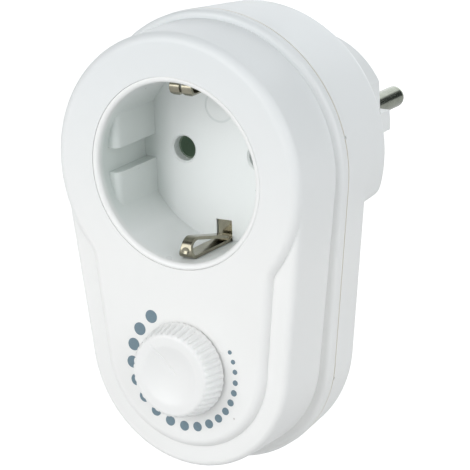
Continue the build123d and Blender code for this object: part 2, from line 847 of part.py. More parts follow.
def circuit_board():
    inner_top = shell_top_radius - front_wall - board_margin
    inner_low = shell_low_radius - front_wall - board_margin
    reach = 2 * knob_drop
    outline = pear(inner_top, inner_low) & (Pos(0, board_top - reach / 2) * Rectangle(2 * reach, reach))
    outline -= Pos(0, lower_screw_level) * Circle(board_notch_radius)
    outline -= Pos(0, lower_screw_level - reach / 2) * Rectangle(2 * board_notch_radius, reach)
    for side in (-1, 1):
        outline -= Pos(side * board_post_x, board_post_z) * Circle(board_screw_radius + assembly_gap)
    return slab(outline, board_depth, board_back_depth)


def board_screws():
    return group([
        machine_screw(
            side * board_post_x, board_post_z, board_screw_radius - screw_fit, board_screw_head_radius,
            board_screw_head_height, board_back_depth, board_screw_length,
        )
        for side in (-1, 1)
    ])


def flute(front, base):
    """Cutter of one flute: a round bar that leans with the knob's side, for the flute at the right."""
    lean = (knob_base_radius - knob_front_radius) / (base - front)
    reach = knob_front_radius - flute_bite + flute_radius - lean * overrun
    start = Plane(origin=(reach, front - overrun - body_depth, 0), z_dir=(lean, 1, 0))
    return extrude(start * Circle(flute_radius), amount=base - front + 3 * overrun)


def knob():
    """Round knob, slightly tapered, with flutes, a dished face, a pointer groove and a sleeve behind."""
    base, front = -knob_gap, -knob_gap - knob_height
    body = taper(
        Pos(0, -knob_drop) * Circle(knob_front_radius), Pos(0, -knob_drop) * Circle(knob_base_radius),
        front, base,
    )
    body = fillet(edges_at(body, front), knob_edge_fillet)
    for turn in range(flute_count):
        body -= Pos(0, 0, -knob_drop) * Rot(0, turn * 360 / flute_count, 0) * flute(front, base)
    centre = front + dish_depth - body_depth - dish_ball_radius
    body -= Pos(0, centre, -knob_drop) * Sphere(dish_ball_radius)
    line = at(front) * Pos(0, -knob_drop, 0) * Rot(0, 0, pointer_angle) * Pos(
        pointer_start + pointer_length / 2, -pointer_inset, 0
    ) * Box(pointer_length, pointer_width, 2 * dish_depth + 2 * pointer_bite)
    body -= line & (Pos(0, centre, -knob_drop) * Sphere(dish_ball_radius + pointer_bite))
    hollow_radius = knob_front_radius - knob_skirt
    hollow = rod(hollow_radius, front + knob_roof, base + overrun, 0, -knob_drop)
    hollow -= rod(sleeve_outer_radius, front, base + overrun, 0, -knob_drop)
    body -= hollow
    body += rod(sleeve_outer_radius, front + knob_roof, sleeve_end_depth, 0, -knob_drop)
    body -= shaft_outline(solder_gap, front + knob_roof, sleeve_end_depth + overrun)
    return body


def shaft_outline(clearance, near, far):
    """Shaft with one flat, or the hole for it."""
    radius = shaft_radius + clearance
    bar = rod(radius, near, far, 0, -knob_drop)
    flat_height = shaft_flat + clearance
    return bar - block(2 * radius, shaft_flat + overrun, near - overrun, far + overrun,
                       0, -knob_drop + shaft_radius - shaft_flat + clearance + (shaft_flat + overrun) / 2)


def pot_shaft():
    top = -knob_gap - knob_height + knob_roof + assembly_gap
    shaft = shaft_outline(0, top, sleeve_end_depth)
    return shaft + rod(shaft_radius, sleeve_end_depth, wiper_near, 0, -knob_drop)


def pot_case():
    case = rod(pot_radius, pot_front_depth, pot_back_depth, 0, -knob_drop)
    case += rod(pot_bush_radius, pot_bush_depth, pot_front_depth, 0, -knob_drop)
    case -= rod(pot_radius - pot_wall, pot_front_depth + pot_wall, pot_back_depth + overrun, 0, -knob_drop)
    case -= rod(shaft_radius + shaft_clearance, pot_bush_depth - overrun, pot_back_depth, 0, -knob_drop)
    return case


def pot_rotor():
    return rod(rotor_radius, rotor_near, wiper_near, 0, -knob_drop) - rod(
        shaft_radius, rotor_near - overrun, wiper_near + overrun, 0, -knob_drop
    )


def pot_wiper():
    """Brass contact finger on the rotor's back, close to the track, pointing like the knob."""
    finger = Rot(0, 0, pointer_angle) * Pos(rotor_radius / 2, 0) * Rectangle(rotor_radius, wiper_width)
    finger = (finger & Circle(rotor_radius)) + Circle(shaft_radius)
    return slab(Pos(0, -knob_drop) * finger, wiper_near, wiper_far)


def pot_track():
    """Resistance track disc that closes the case."""
    return rod(pot_radius - pot_wall - solder_gap, track_near, pot_back_depth, 0, -knob_drop)


def pot_terminals():
    """Three terminals from the track disc to the board."""
    pins = []
    for step in (-1, 0, 1):
        pins.append(block(terminal_width, terminal_thickness, pot_back_depth, board_depth,
                          step * terminal_pitch, -knob_drop - pot_radius / 2))
    return group(pins)


def dot_places():
    """Dots from the largest one, anticlockwise round the knob as seen from the front."""
    places = []
    for turn, diameter in zip(dot_turns, dot_diameters):
        angle = math.radians(first_dot_angle + turn)
        x = dot_ring_radius * math.cos(angle)
        z = dot_ring_radius * math.sin(angle) - knob_drop
        places.append((x, z, diameter / 2))
    return places


def dot_scale():
    return group([rod(radius, -dot_print_thickness, 0, x, z) for x, z, radius in dot_places()])


def boxed(size, x, edge_fillet):
    """Rectangular part standing on the board's front, level with the capacitor."""
    width, height, rise = size
    level = board_top - capacitor_inset - capacitor_size[1] / 2
    body = block(width, height, board_depth - rise, board_depth, x, level)
    return fillet(edges_at(body, board_depth - rise) + body.edges().filter_by(Axis.Y), edge_fillet)


def choke_places():
    half = choke_length / 2
    return -knob_drop - half, -knob_drop + half


def choke_core():
    """Drum-shaped ferrite core lying on the board."""
    low, high = choke_places()
    axis_y = board_depth - choke_flange_radius - body_depth
    upright = Plane(origin=(choke_x, axis_y, low), x_dir=(1, 0, 0), z_dir=(0, 0, 1))
    core = extrude(upright * Circle(choke_core_radius), amount=choke_length)
    core += extrude(upright * Circle(choke_flange_radius), amount=choke_flange_thickness)
    top_flange = upright.offset(choke_length - choke_flange_thickness)
    return core + extrude(top_flange * Circle(choke_flange_radius), amount=choke_flange_thickness)


def choke_winding():
    low, high = choke_places()
    axis_y = board_depth - choke_flange_radius - body_depth
    start = low + choke_flange_thickness + solder_gap
    upright = Plane(origin=(choke_x, axis_y, start), x_dir=(1, 0, 0), z_dir=(0, 0, 1))
    length = choke_length - 2 * (choke_flange_thickness + solder_gap)
    ring = Circle(choke_winding_radius) - Circle(choke_core_radius + solder_gap)
    return extrude(upright * ring, amount=length)


def fuse_plane(level):
    return Plane(origin=(fuse_x, fuse_axis_depth - body_depth, level), x_dir=(1, 0, 0), z_dir=(0, 0, 1))


def fuse_glass():
    start = -knob_drop - fuse_length / 2 + fuse_cap_wall
    ring = Circle(fuse_radius - fuse_cap_wall) - Circle(fuse_radius - fuse_wall)
    return extrude(fuse_plane(start) * ring, amount=fuse_length - 2 * fuse_cap_wall)


def fuse_caps():
    caps = []
    for side in (-1, 1):
        start = -knob_drop + side * (fuse_length - fuse_cap_length) / 2 - fuse_cap_length / 2
        cap = extrude(fuse_plane(start) * Circle(fuse_radius), amount=fuse_cap_length)
        bore = Circle(fuse_radius - fuse_cap_wall + solder_gap)
        cap -= extrude(fuse_plane(start - side * fuse_cap_wall) * bore, amount=fuse_cap_length)
        caps.append(cap)
    return group(caps)


def fuse_clips():
    """Spring clips that hold the fuse's caps, standing on the board."""
    clips = []
    for side in (-1, 1):
        level = -knob_drop + side * (fuse_length / 2 - fuse_cap_length / 2)
        start = level - fuse_clip_length / 2
        near = fuse_axis_depth - fuse_clip_rise
        hold = block(fuse_clip_width, fuse_clip_length, near, board_depth, fuse_x, level)
        inner = fuse_clip_width - 2 * fuse_clip_wall
        hold -= block(
            inner, fuse_clip_length + overrun, near - overrun, board_depth - fuse_clip_wall, fuse_x, level
        )
        ring = Circle(fuse_radius + fuse_clip_wall + solder_gap) - Circle(fuse_radius + solder_gap)
        ring &= Pos(0, fuse_clip_rise) * Rectangle(2 * fuse_clip_width, 2 * fuse_clip_width)
        clips.append(hold + extrude(fuse_plane(start) * ring, amount=fuse_clip_length))
    return group(clips)


def axial(place, radius, length):
    """Small part lying along X on the board below the knob axis, with its two leads."""
    x, z = place[0], -knob_drop - place[1]
    axis_y = board_depth - radius - solder_gap - body_depth
    sideways = Plane(origin=(x - length / 2, axis_y, z), x_dir=(0, 0, 1), z_dir=(1, 0, 0))
    body = extrude(sideways * Circle(radius), amount=length)
    body = fillet(body.edges().filter_by(GeomType.CIRCLE), radius * axial_edge_share)
    reach = length + 2 * axial_lead_reach
    lead_start = Plane(origin=(x - reach / 2, axis_y, z), x_dir=(0, 0, 1), z_dir=(1, 0, 0))
    body += extrude(lead_start * Circle(lead_radius), amount=reach)
    for side in (-1, 1):
        body += rod(lead_radius, board_depth - radius - solder_gap, board_depth, x + side * reach / 2, z)
    return body


def resistors():
    return group([axial(place, resistor_radius, resistor_length) for place in resistor_places])


def triac_body():
    width, height, thick = triac_size
    body = block(width, height, triac_near, triac_far - triac_tab_thickness, 0, triac_top - height / 2)
    return fillet(body.edges().filter_by(Axis.Y), triac_edge_fillet)


def triac_tab():
    """Metal back of the triac with its hole."""
    width, height, thick = triac_size
    whole = height + triac_tab_height
    level = triac_top + triac_tab_height - whole / 2
    tab = block(width, whole, triac_far - triac_tab_thickness, triac_far, 0, level)
    return tab - rod(
        triac_hole_radius, triac_near, triac_far + overrun, 0, triac_top + triac_tab_height / 2
    )


def triac_legs():
    """Three legs, bent down to the board."""
    width, height, thick = triac_size
    start = triac_top - height
    near = triac_near + thick * triac_lead_share
    legs = []
    for step in (-1, 0, 1):
        x = step * triac_lead_pitch
        leg = block(
            2 * lead_radius, triac_lead_drop, near, near + 2 * lead_radius, x, start - triac_lead_drop / 2
        )
        leg += block(2 * lead_radius, 2 * lead_radius, board_back_depth, near + 2 * lead_radius,
                     x, start - triac_lead_drop + lead_radius)
        legs.append(leg)
    return group(legs)


def heat_sink():
    width, height, thick = sink_size
    plate = RectangleRounded(width, height, sink_corner_fillet)
    sink = slab(Pos(0, sink_top - height / 2) * plate, triac_far, sink_far)
    return sink - rod(
        triac_hole_radius, triac_far - overrun, sink_far + overrun, 0, triac_top + triac_tab_height / 2
    )


def sink_screw():
    """Screw through heat sink and triac tab, with its nut."""
    head_near = sink_far
    level = triac_top + triac_tab_height / 2
    tab_front = triac_far - triac_tab_thickness
    length = head_near - tab_front + sink_nut_height
    screw = machine_screw(
        0, level, sink_screw_radius, sink_screw_head_radius, sink_screw_head_height, head_near, length
    )
    nut = slab(Pos(0, level) * RegularPolygon(sink_nut_radius, 6), tab_front - sink_nut_height, tab_front)
    return screw + nut


def wire(route):
    """Insulated lead along a route of straight runs and round bends."""
    points = [(x, depth - body_depth, z) for x, depth, z in route]
    path = FilletPolyline(*points, radius=wire_bends)
    section = Plane(origin=path @ 0, z_dir=path % 0) * Circle(wire_radius)
    return sweep(section, path=path)


def wire_end(x):
    """Last three places of both leads: behind the well's lower edge, and down to the board."""
    passing = (floor_back_depth + low_back_depth - rear_wall) / 2
    level = board_top - wire_board_inset
    return (
        (x[-2], passing, -well_radius),
        (x[-1], board_back_depth + wire_board_rise, level),
        (x[-1], board_back_depth + solder_gap, level),
    )


def live_in_wire():
    """From the live pin's tail past the contact chamber and down to the board."""
    start_depth = bulkhead_depth - wire_radius - live_in_wall_gap
    passing = (floor_back_depth + low_back_depth - rear_wall) / 2
    start = (
        (live_in_x[0], start_depth, live_in_start),
        (live_in_x[1], start_depth, live_in_turn),
        (live_in_x[2], passing, live_in_turn - assembly_gap),
    )
    return wire(start + wire_end(live_in_x))


def live_out_wire():
    """From the board to the tab of the live contact."""
    tab_middle = tab_depth + tab_thickness / 2
    passing = (floor_back_depth + low_back_depth - rear_wall) / 2
    tab_end = -tab_drop - solder_gap
    start = (
        (live_out_x[0], tab_middle, tab_end),
        (live_out_x[1], tab_middle, tab_end - live_out_turn),
        (live_out_x[2], passing, tab_end - 2 * live_out_turn),
    )
    return wire(start + wire_end(live_out_x))


os.makedirs("parts", exist_ok=True)
keep("front_shell", front_shell())
keep("socket_insert", socket_insert())
keep("live_contact", contact(-1))
keep("neutral_contact", contact(1))
keep("contact_chambers", contact_chambers())
keep("contact_cover", contact_cover())
keep("earth_strap", earth_strap())
keep("rear_shell", rear_shell())
keep("plug_insert", plug_insert())
keep("live_pin", plug_pin(-1))
keep("neutral_pin", plug_pin(1))
keep("plug_earth_strap", plug_earth_strap())
keep("earth_link", earth_link())
keep("neutral_link", neutral_link())
keep("housing_screws", housing_screws())
keep("plug_insert_screws", plug_insert_screws())
keep("circuit_board", circuit_board())
keep("board_screws", board_screws())
keep("knob", knob())
keep("pot_shaft", pot_shaft())
keep("pot_case", pot_case())
keep("pot_rotor", pot_rotor())
keep("pot_wiper", pot_wiper())
keep("pot_track", pot_track())
keep("pot_terminals", pot_terminals())
keep("dot_scale", dot_scale())
keep("suppression_capacitor", boxed(capacitor_size, capacitor_x, capacitor_edge_fillet))
keep("timing_capacitor", boxed(timing_size, timing_x, timing_edge_fillet))
keep("choke_core", choke_core())
keep("choke_winding", choke_winding())
keep("fuse_glass", fuse_glass())
keep("fuse_caps", fuse_caps())
keep("fuse_clips", fuse_clips())
keep("resistors", resistors())
keep("diac", axial(diac_place, diac_radius, diac_length))
keep("triac_body", triac_body())
keep("triac_tab", triac_tab())
keep("triac_legs", triac_legs())
keep("heat_sink", heat_sink())
keep("sink_screw", sink_screw())
keep("live_in_wire", live_in_wire())
keep("live_out_wire", live_out_wire())
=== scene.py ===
import json
import math

import bpy
import numpy as np
from bpy.props import FloatProperty, FloatVectorProperty, IntProperty, PointerProperty
from mathutils import Matrix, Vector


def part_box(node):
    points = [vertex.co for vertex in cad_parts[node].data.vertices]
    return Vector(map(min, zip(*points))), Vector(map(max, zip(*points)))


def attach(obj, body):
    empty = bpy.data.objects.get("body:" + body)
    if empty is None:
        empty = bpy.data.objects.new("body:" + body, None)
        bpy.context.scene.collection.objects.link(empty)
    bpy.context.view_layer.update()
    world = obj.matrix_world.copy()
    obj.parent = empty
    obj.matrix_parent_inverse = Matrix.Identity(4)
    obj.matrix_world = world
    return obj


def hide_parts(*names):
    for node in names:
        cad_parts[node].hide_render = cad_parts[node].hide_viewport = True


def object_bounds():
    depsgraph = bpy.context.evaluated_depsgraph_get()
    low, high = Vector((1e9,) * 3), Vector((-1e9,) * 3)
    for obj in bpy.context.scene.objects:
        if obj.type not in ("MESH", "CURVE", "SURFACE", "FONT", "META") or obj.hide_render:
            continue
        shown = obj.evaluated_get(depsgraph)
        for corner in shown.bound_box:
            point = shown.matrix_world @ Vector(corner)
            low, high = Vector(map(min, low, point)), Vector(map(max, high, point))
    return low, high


bl_info = {
    "name": "Plug-in dimmer pieces",
    "version": (1, 0, 0),
    "blender": (4, 5, 0),
    "location": "View3D > Sidebar > Dimmer",
    "description": "Dresses the pieces of a plug-in lamp dimmer with a socket in front and a turning knob",
    "category": "Object",
}

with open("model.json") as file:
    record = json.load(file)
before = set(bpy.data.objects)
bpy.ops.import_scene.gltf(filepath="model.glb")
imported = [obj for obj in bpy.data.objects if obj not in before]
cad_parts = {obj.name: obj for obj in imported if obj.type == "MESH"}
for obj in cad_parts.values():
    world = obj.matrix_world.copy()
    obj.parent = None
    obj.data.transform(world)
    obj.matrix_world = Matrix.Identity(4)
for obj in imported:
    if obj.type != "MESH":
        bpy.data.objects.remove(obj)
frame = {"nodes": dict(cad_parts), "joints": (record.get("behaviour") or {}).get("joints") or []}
cad_box = [list(corner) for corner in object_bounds()]
NODES = frame["nodes"]
MM = 0.001
KNOB_JOINT = frame["joints"][0]
KNOB_AXIS = tuple(KNOB_JOINT["pos_m"])
FRONT_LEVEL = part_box("front_shell")[0].y
KNOB_LOW, KNOB_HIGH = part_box("knob")

# Sockets of a Mix node that mixes colours
MIX_SHARE, MIX_FIRST, MIX_SECOND, MIX_RESULT = 0, 6, 7, 2

# Shading of the CAD nodes, and of their sharp edges
WELD_REACH = 0.001 * MM
SHARP_EDGE = math.radians(28.0)
BEVEL_SAMPLES = 6
UNTURNED = (0, 0, 0)

# Moulded plastic: broad mottle, patches of polish, and slow waves of the surface
MOTTLE_SIZE = 16.0 * MM
POLISH_SIZE = 6.0 * MM
WAVE_SIZE = 12.0 * MM
WAVE_DEPTH = 0.04 * MM

# Plated metal: clouds of tint, scratches drawn along one way, and rubbed edges
CLOUD_SIZE = 1.6 * MM
SCRATCH_SIZE = (0.12 * MM, 3.5 * MM, 0.12 * MM)
SCRATCH_DEPTH = 0.002 * MM
RUBBED_BRIGHTNESS = 1.35

# Circuit board: fibres of the paper
FIBRE_SIZE = (0.6 * MM, 0.4 * MM, 4.0 * MM)

# Shells: heights between which painted shade darkens the white towards the top, the seam with its tan paint
# and painted glow, and a speck on the plate
TOP_SHADE_LOW, TOP_SHADE_HIGH = -20.0 * MM, 34.0 * MM
SEAM_LEVEL = FRONT_LEVEL + 17.62 * MM
SEAM_REACH, SEAM_CORE = 0.16 * MM, 0.10 * MM
SEAM_SHADE = (0.60, 0.53, 0.42)
SEAM_PAINTED_LIGHT = (0.60, 0.52, 0.40, 1.0)
SPECK_PLACE = (12.16 * MM, FRONT_LEVEL, -51.89 * MM)
SPECK_REACH, SPECK_CORE = 0.30 * MM, 0.12 * MM
SPECK_SHADE = (0.50, 0.47, 0.45)

# Socket well: painted shade on its left wall, painted shade along the ring mark on its floor, and its bright
# rim
WALL_SHADE_START, WALL_SHADE_END = -12.0 * MM, -18.0 * MM
RING_PLACE = (0.0, FRONT_LEVEL + 18.0 * MM, 10.3 * MM)
RING_RADIUS = 3.4 * MM
RING_REACH, RING_CORE = 0.32 * MM, 0.12 * MM
RING_SHADE = (0.70, 0.74, 0.73)
RIM_START, RIM_END = FRONT_LEVEL + 2.2 * MM, FRONT_LEVEL + 0.2 * MM

# Knob: what its settings don't hold
KNOB_GAP = 0.45 * MM
KNOB_ROOF = 2.3 * MM
HOLLOW_RADIUS = 7.3 * MM
SLEEVE_RADIUS = 4.6 * MM
BORE_RADIUS = 3.05 * MM
BORE_FLAT, FLAT_SINE = 2.45 * MM, 0.1
BORE_ROWS = 5
BORE_END = 0.02 * MM
SMALL_EDGE = 0.05 * MM
BASE_EDGE = 0.08 * MM
FACE_START = 0.02 * MM
FACE_ROWS, CORNER_ROWS, WALL_ROWS = 72, 20, 34
POINTS_PER_FLUTE = 16
CORNER_START = -88.0
DISH_BLEND = 0.07 * MM
GROOVE_POWER = 1.7
GROOVE_FADE = 0.8 * MM
BASE_BITE, END_BITE = 0.25, 0.2
LINE_WIDTH, LINE_DEPTH = 0.17 * MM, 0.17 * MM
LINE_START, LINE_END = -0.5 * MM, 7.5 * MM
LINE_FADE = 0.12 * MM

# Resistors and trigger diode: middles across, the level between the two rows, and their colour rings
UPPER_RESISTORS, LOWER_RESISTOR = (-8.0 * MM, 8.0 * MM), -8.6 * MM
RESISTOR_ROWS_SPLIT = -55.5 * MM
RESISTOR_RINGS = (
    (-2.0 * MM, (0.02, 0.02, 0.02)), (-1.0 * MM, (0.30, 0.08, 0.01)),
    (0.0, (0.62, 0.25, 0.02)), (1.9 * MM, (0.5, 0.36, 0.08)),
)
RING_OUTSIDE, RING_INSIDE = 0.36 * MM, 0.30 * MM
DIODE_RING = 9.9 * MM
WINDING_PITCH = 1.6085 * MM

# Stage
FLOOR_HALF_WIDTH, FLOOR_POINTS = 4.0, 9
FLOOR_MIRRORED = 0.38
SOFTBOX_PLACE = (-0.45, -1.0, 0.40)
SOFTBOX_AIM = (0.0, -0.03, -0.02)
SOFTBOX_SIZE = 0.9
SENSOR_WIDTH = 36.0
CLIP_START, CLIP_END = 0.01, 30.0
TENT_GAPS = (((0.60, 0.75, 0.28), 0.95, 0.86), ((0.52, -0.80, 0.285), 0.985, 0.94))


def tint(name, text, value):
    """A colour property in linear light."""
    return FloatVectorProperty(
        name=name, description=text, subtype="COLOR", size=3, min=0.0, max=1.0, default=value,
    )


def length(name, text, value, low=0.0, high=10.0):
    """A length property in metres."""
    return FloatProperty(
        name=name, description=text, unit="LENGTH", precision=5, default=value, min=low, max=high,
    )


def share(name, text, value, low=0.0, high=1.0):
    """A plain factor."""
    return FloatProperty(name=name, description=text, default=value, min=low, max=high)


def angle(name, text, degrees):
    """An angle property, given in degrees."""
    return FloatProperty(name=name, description=text, subtype="ANGLE", default=math.radians(degrees))


class DimmerShellSettings(bpy.types.PropertyGroup):
    white: tint("White", "Colour of the moulded shells", (0.885, 0.886, 0.875))
    warm_white: tint("Warmer patches", "Second tint of the faint mottle", (0.874, 0.872, 0.856))
    # Painted shade: the shells' colour near their top, darker than the white
    top_painted_shade: tint("White higher up", "Colour of the shells near their top", (0.742, 0.768, 0.776))
    well_white: tint("Well white", "Colour of the socket well", (0.862, 0.886, 0.877))
    # Painted light: the seam glows by itself, standing in for light that comes through the plastic into the
    # seam
    seam_painted_light: share("Seam glow", "Light that comes through the plastic into the seam", 0.25)
    # Painted shade: a darker, greener colour for the well's left wall
    well_painted_shade: tint("Well shade", "Greener tint of the well's left wall", (0.62, 0.67, 0.645))
    gloss: share("Roughness", "Mean roughness of the shells", 0.36)
    grain: length("Grain size", "Size of the moulding's fine grain", 0.00022)
    grain_depth: length("Grain depth", "Height of the moulding's fine grain", 0.000004)


class DimmerKnobSettings(bpy.types.PropertyGroup):
    white: tint("White", "Colour of the knob", (0.872, 0.872, 0.862))
    flutes: IntProperty(name="Flutes", description="Grooves round the knob", default=41, min=3, max=90)
    base_radius: length("Base radius", "Radius next to the housing", 0.01035)
    front_radius: length("Front radius", "Radius at the face", 0.0092)
    flute_bite: length("Flute bite", "Depth of the grooves", 0.00052)
    rim_fillet: length("Rim fillet", "Rounding of the front rim", 0.0013)
    dish_radius: length("Dish radius", "Where the dished face meets the rim", 0.0065)
    dish: length("Dish", "Depth of the dished face", 0.0012)
    pointer_angle: angle("Pointer angle", "Direction of the pointer line at rest", 128.9)
    pointer_offset: length("Pointer offset", "Distance of the pointer line from the axis", 0.0007)


class DimmerScaleSettings(bpy.types.PropertyGroup):
    ink: tint("Ink", "Colour of the printed dots", (0.165, 0.236, 0.280))


class DimmerMetalSettings(bpy.types.PropertyGroup):
    pin_nickel: tint("Pin nickel", "Plating of the plug pins", (0.33, 0.35, 0.295))
    clip_nickel: tint("Clip nickel", "Plating of the spring clips", (0.33, 0.31, 0.24))
    sleeve: tint("Sleeve", "Tarnished nickel silver of the contact sleeves", (0.17, 0.19, 0.16))
    brass: tint("Brass", "Bare brass of the links", (0.70, 0.50, 0.22))
    steel: tint("Steel", "Zinc plated screws", (0.60, 0.60, 0.58))


class DimmerStageSettings(bpy.types.PropertyGroup):
    floor_drop: length("Floor drop", "Distance from the lowest point down to the floor", 0.06)
    floor_tint: tint("Floor", "Colour of the floor", (0.60, 0.60, 0.60))
    floor_glow: share("Floor glow", "Light that the floor gives off by itself", 0.05, 0.0, 5.0)
    floor_white: share("Floor white", "How bright the camera sees the floor's own light", 0.72, 0.0, 5.0)
    sky: tint("Sky", "Tint of the light from all round", (0.975, 1.0, 1.018))
    sky_top: share("Sky top", "Light from above", 0.1, 0.0, 5.0)
    sky_left: share("Sky left", "Light from the left", 0.1, 0.0, 5.0)
    sky_right: share("Sky right", "Light from the right", 2.26, 0.0, 5.0)
    sky_front: share("Sky front", "Light from the front", 0.92, 0.0, 5.0)
    sky_back: share("Sky back", "Light from behind", 2.22, 0.0, 5.0)
    sky_low: share("Sky low", "Light from below", 0.3, 0.0, 5.0)
    dark_room: tint("Dark room", "The unlit room between the light tents", (0.03, 0.04, 0.035))
    front_light: share("Front light", "Power of the softbox beside the camera", 6.8, 0.0, 100.0)
    azimuth: angle("Azimuth", "Camera's angle from the front", 32.8839)
    elevation: angle("Elevation", "Camera's angle above level", 16.54)
    roll: angle("Roll", "Camera's lean", -2.3171)
    camera_place: FloatVectorProperty(
        name="Camera place", description="Where the camera stands", subtype="XYZ", unit="LENGTH", size=3,
        default=(0.3650, -0.6000, 0.1805),
    )
    lens: FloatProperty(name="Lens", description="Focal length in millimetres", default=250.59, min=1.0)


def join(tree, kind, operation, *values):
    """A new node with an operation. Its inputs in order are linked or set, and None leaves one as it is."""
    node = tree.nodes.new(kind)
    node.operation = operation
    for socket, value in zip(node.inputs, values):
        if isinstance(value, bpy.types.NodeSocket):
            tree.links.new(value, socket)
        elif value is not None:
            socket.default_value = value
    return node


class Finish:
    """One material in the making: its shader, its Object coordinates, and calls that each add a pattern."""

    def __init__(self, name, colour, roughness, metallic=0.0, **sockets):
        self.material = bpy.data.materials.new(name)
        self.material.use_nodes = True
        self.tree = self.material.node_tree
        self.shader = self.tree.nodes["Principled BSDF"]
        self.shader.inputs["Base Color"].default_value = (*colour, 1.0)
        self.shader.inputs["Roughness"].default_value = roughness
        self.shader.inputs["Metallic"].default_value = metallic
        for socket, value in sockets.items():
            self.shader.inputs[socket.replace("_", " ")].default_value = value
        self.place = self.tree.nodes.new("ShaderNodeTexCoord").outputs["Object"]
        self.colour = None
        self.normal = None
        self.plain = colour

    def link(self, start, end):
        self.tree.links.new(start, end)

    def mapped(self, stretch, turn):
        """Object coordinates, turned and stretched."""
        node = self.tree.nodes.new("ShaderNodeMapping")
        node.vector_type = "TEXTURE"
        node.inputs["Rotation"].default_value = turn
        node.inputs["Scale"].default_value = stretch
        self.link(self.place, node.inputs["Vector"])
        return node.outputs["Vector"]

    def noise(self, size, detail=2.0, place=None):
        """Smooth noise whose lumps are about as large as size."""
        node = self.tree.nodes.new("ShaderNodeTexNoise")
        node.inputs["Scale"].default_value = 1.0 / size
        node.inputs["Detail"].default_value = detail
        self.link(place or self.place, node.inputs["Vector"])
        return node.outputs["Fac"]

    def cells(self, size):
        """Distance to scattered points that lie about size apart."""
        node = self.tree.nodes.new("ShaderNodeTexVoronoi")
        node.inputs["Scale"].default_value = 1.0 / size
        self.link(self.place, node.inputs["Vector"])
        return node.outputs["Distance"]

    def spread(self, value, start, end, low=0.0, high=1.0):
        """Maps a value from start..end to low..high, held at the ends."""
        node = self.tree.nodes.new("ShaderNodeMapRange")
        for socket, number in (("From Min", start), ("From Max", end), ("To Min", low), ("To Max", high)):
            node.inputs[socket].default_value = number
        self.link(value, node.inputs["Value"])
        return node.outputs["Result"]

    def combine(self, operation, first, second=0.0):
        """One sum of two values, either of which may be a plain number."""
        return join(self.tree, "ShaderNodeMath", operation, first, second).outputs[0]

    def off(self, value, middle):
        """How far a value is from a middle, either way."""
        return self.combine("ABSOLUTE", self.combine("SUBTRACT", value, middle))

    def axis(self, letter):
        """One of the Object coordinates."""
        node = self.tree.nodes.new("ShaderNodeSeparateXYZ")
        self.link(self.place, node.inputs[0])
        return node.outputs[letter]

    def distance(self, place):
        """Distance from a point."""
        return join(self.tree, "ShaderNodeVectorMath", "DISTANCE", self.place, place).outputs["Value"]

    def paint(self, share, colour):
        """Mixes a second colour in by a pattern, over what is painted so far."""
        node = self.tree.nodes.new("ShaderNodeMix")
        node.data_type = "RGBA"
        node.clamp_factor = True
        if self.colour is None:
            node.inputs[MIX_FIRST].default_value = (*self.plain, 1.0)
        else:
            self.link(self.colour, node.inputs[MIX_FIRST])
        node.inputs[MIX_SECOND].default_value = (*colour, 1.0)
        self.link(share, node.inputs[MIX_SHARE])
        self.colour = node.outputs[MIX_RESULT]
        self.link(self.colour, self.shader.inputs["Base Color"])
        return self

    def polish(self, share, low, high, start=0.3, end=0.7):
        """Varies the roughness by a pattern."""
        self.link(self.spread(share, start, end, low, high), self.shader.inputs["Roughness"])
        return self

    def relief(self, height, depth, strength=1.0):
        """Bumps the surface by a pattern, over the bumps so far."""
        node = self.tree.nodes.new("ShaderNodeBump")
        node.inputs["Strength"].default_value = strength
        node.inputs["Distance"].default_value = depth
        self.link(height, node.inputs["Height"])
        if self.normal is not None:
            self.link(self.normal, node.inputs["Normal"])
        self.normal = node.outputs["Normal"]
        self.link(self.normal, self.shader.inputs["Normal"])
        return self

    def round_edges(self, radius):
        """Shades sharp edges as if they were rounded, and returns how near an edge is."""
        node = self.tree.nodes.new("ShaderNodeBevel")
        node.samples = BEVEL_SAMPLES
        node.inputs["Radius"].default_value = radius
        facing = self.tree.nodes.new("ShaderNodeNewGeometry").outputs["Normal"]
        self.normal = node.outputs["Normal"]
        dot = join(self.tree, "ShaderNodeVectorMath", "DOT_PRODUCT", self.normal, facing)
        self.link(self.normal, self.shader.inputs["Normal"])
        return self.spread(dot.outputs["Value"], start=1.0, end=0.9)


def toned(colour, factor):
    """A colour made darker or lighter by a factor."""
    return tuple(min(1.0, factor * c) for c in colour)


def moulded(name, colour, other, gloss, grain, depth):
    """Moulded plastic: a faint broad mottle, a satin skin of fine grain, and slow waves where it cooled."""
    finish = Finish(name, colour, gloss, Specular_IOR_Level=0.42)
    finish.paint(finish.spread(finish.noise(MOTTLE_SIZE), start=0.15, end=0.85, high=0.8), other)
    finish.polish(finish.noise(POLISH_SIZE), low=gloss - 0.05, high=gloss + 0.06, start=0.1, end=0.9)
    finish.relief(finish.noise(WAVE_SIZE, detail=0.0), WAVE_DEPTH, strength=0.3)
    finish.relief(finish.noise(grain), depth, strength=0.6)
    return finish


def plated(name, colour, other, low, high, scratch_turn=UNTURNED, edges=0.12 * MM):
    """Plated metal: cloudy tint, drawn scratches along one way, and brighter rubbed edges."""
    finish = Finish(name, colour, low, 1.0)
    near_edge = finish.round_edges(edges)
    finish.paint(finish.spread(finish.noise(CLOUD_SIZE, detail=3.0), start=0.35, end=0.7), other)
    finish.paint(finish.combine("MULTIPLY", near_edge, 0.5), toned(colour, RUBBED_BRIGHTNESS))
    drawn = finish.mapped(SCRATCH_SIZE, scratch_turn)
    scratches = finish.noise(1.0, detail=3.0, place=drawn)
    finish.polish(scratches, low, high)
    finish.relief(scratches, SCRATCH_DEPTH, strength=0.5)
    return finish


def smooth_node(piece):
    """Joins a node's loose triangles for shading and keeps sharp edges, by modifiers alone."""
    piece.data.polygons.foreach_set("use_smooth", np.ones(len(piece.data.polygons), bool))
    weld = piece.modifiers.new("join", "WELD")
    weld.merge_threshold = WELD_REACH
    split = piece.modifiers.new("edges", "EDGE_SPLIT")
    split.split_angle = SHARP_EDGE
    even = piece.modifiers.new("even", "WEIGHTED_NORMAL")
    even.keep_sharp = True


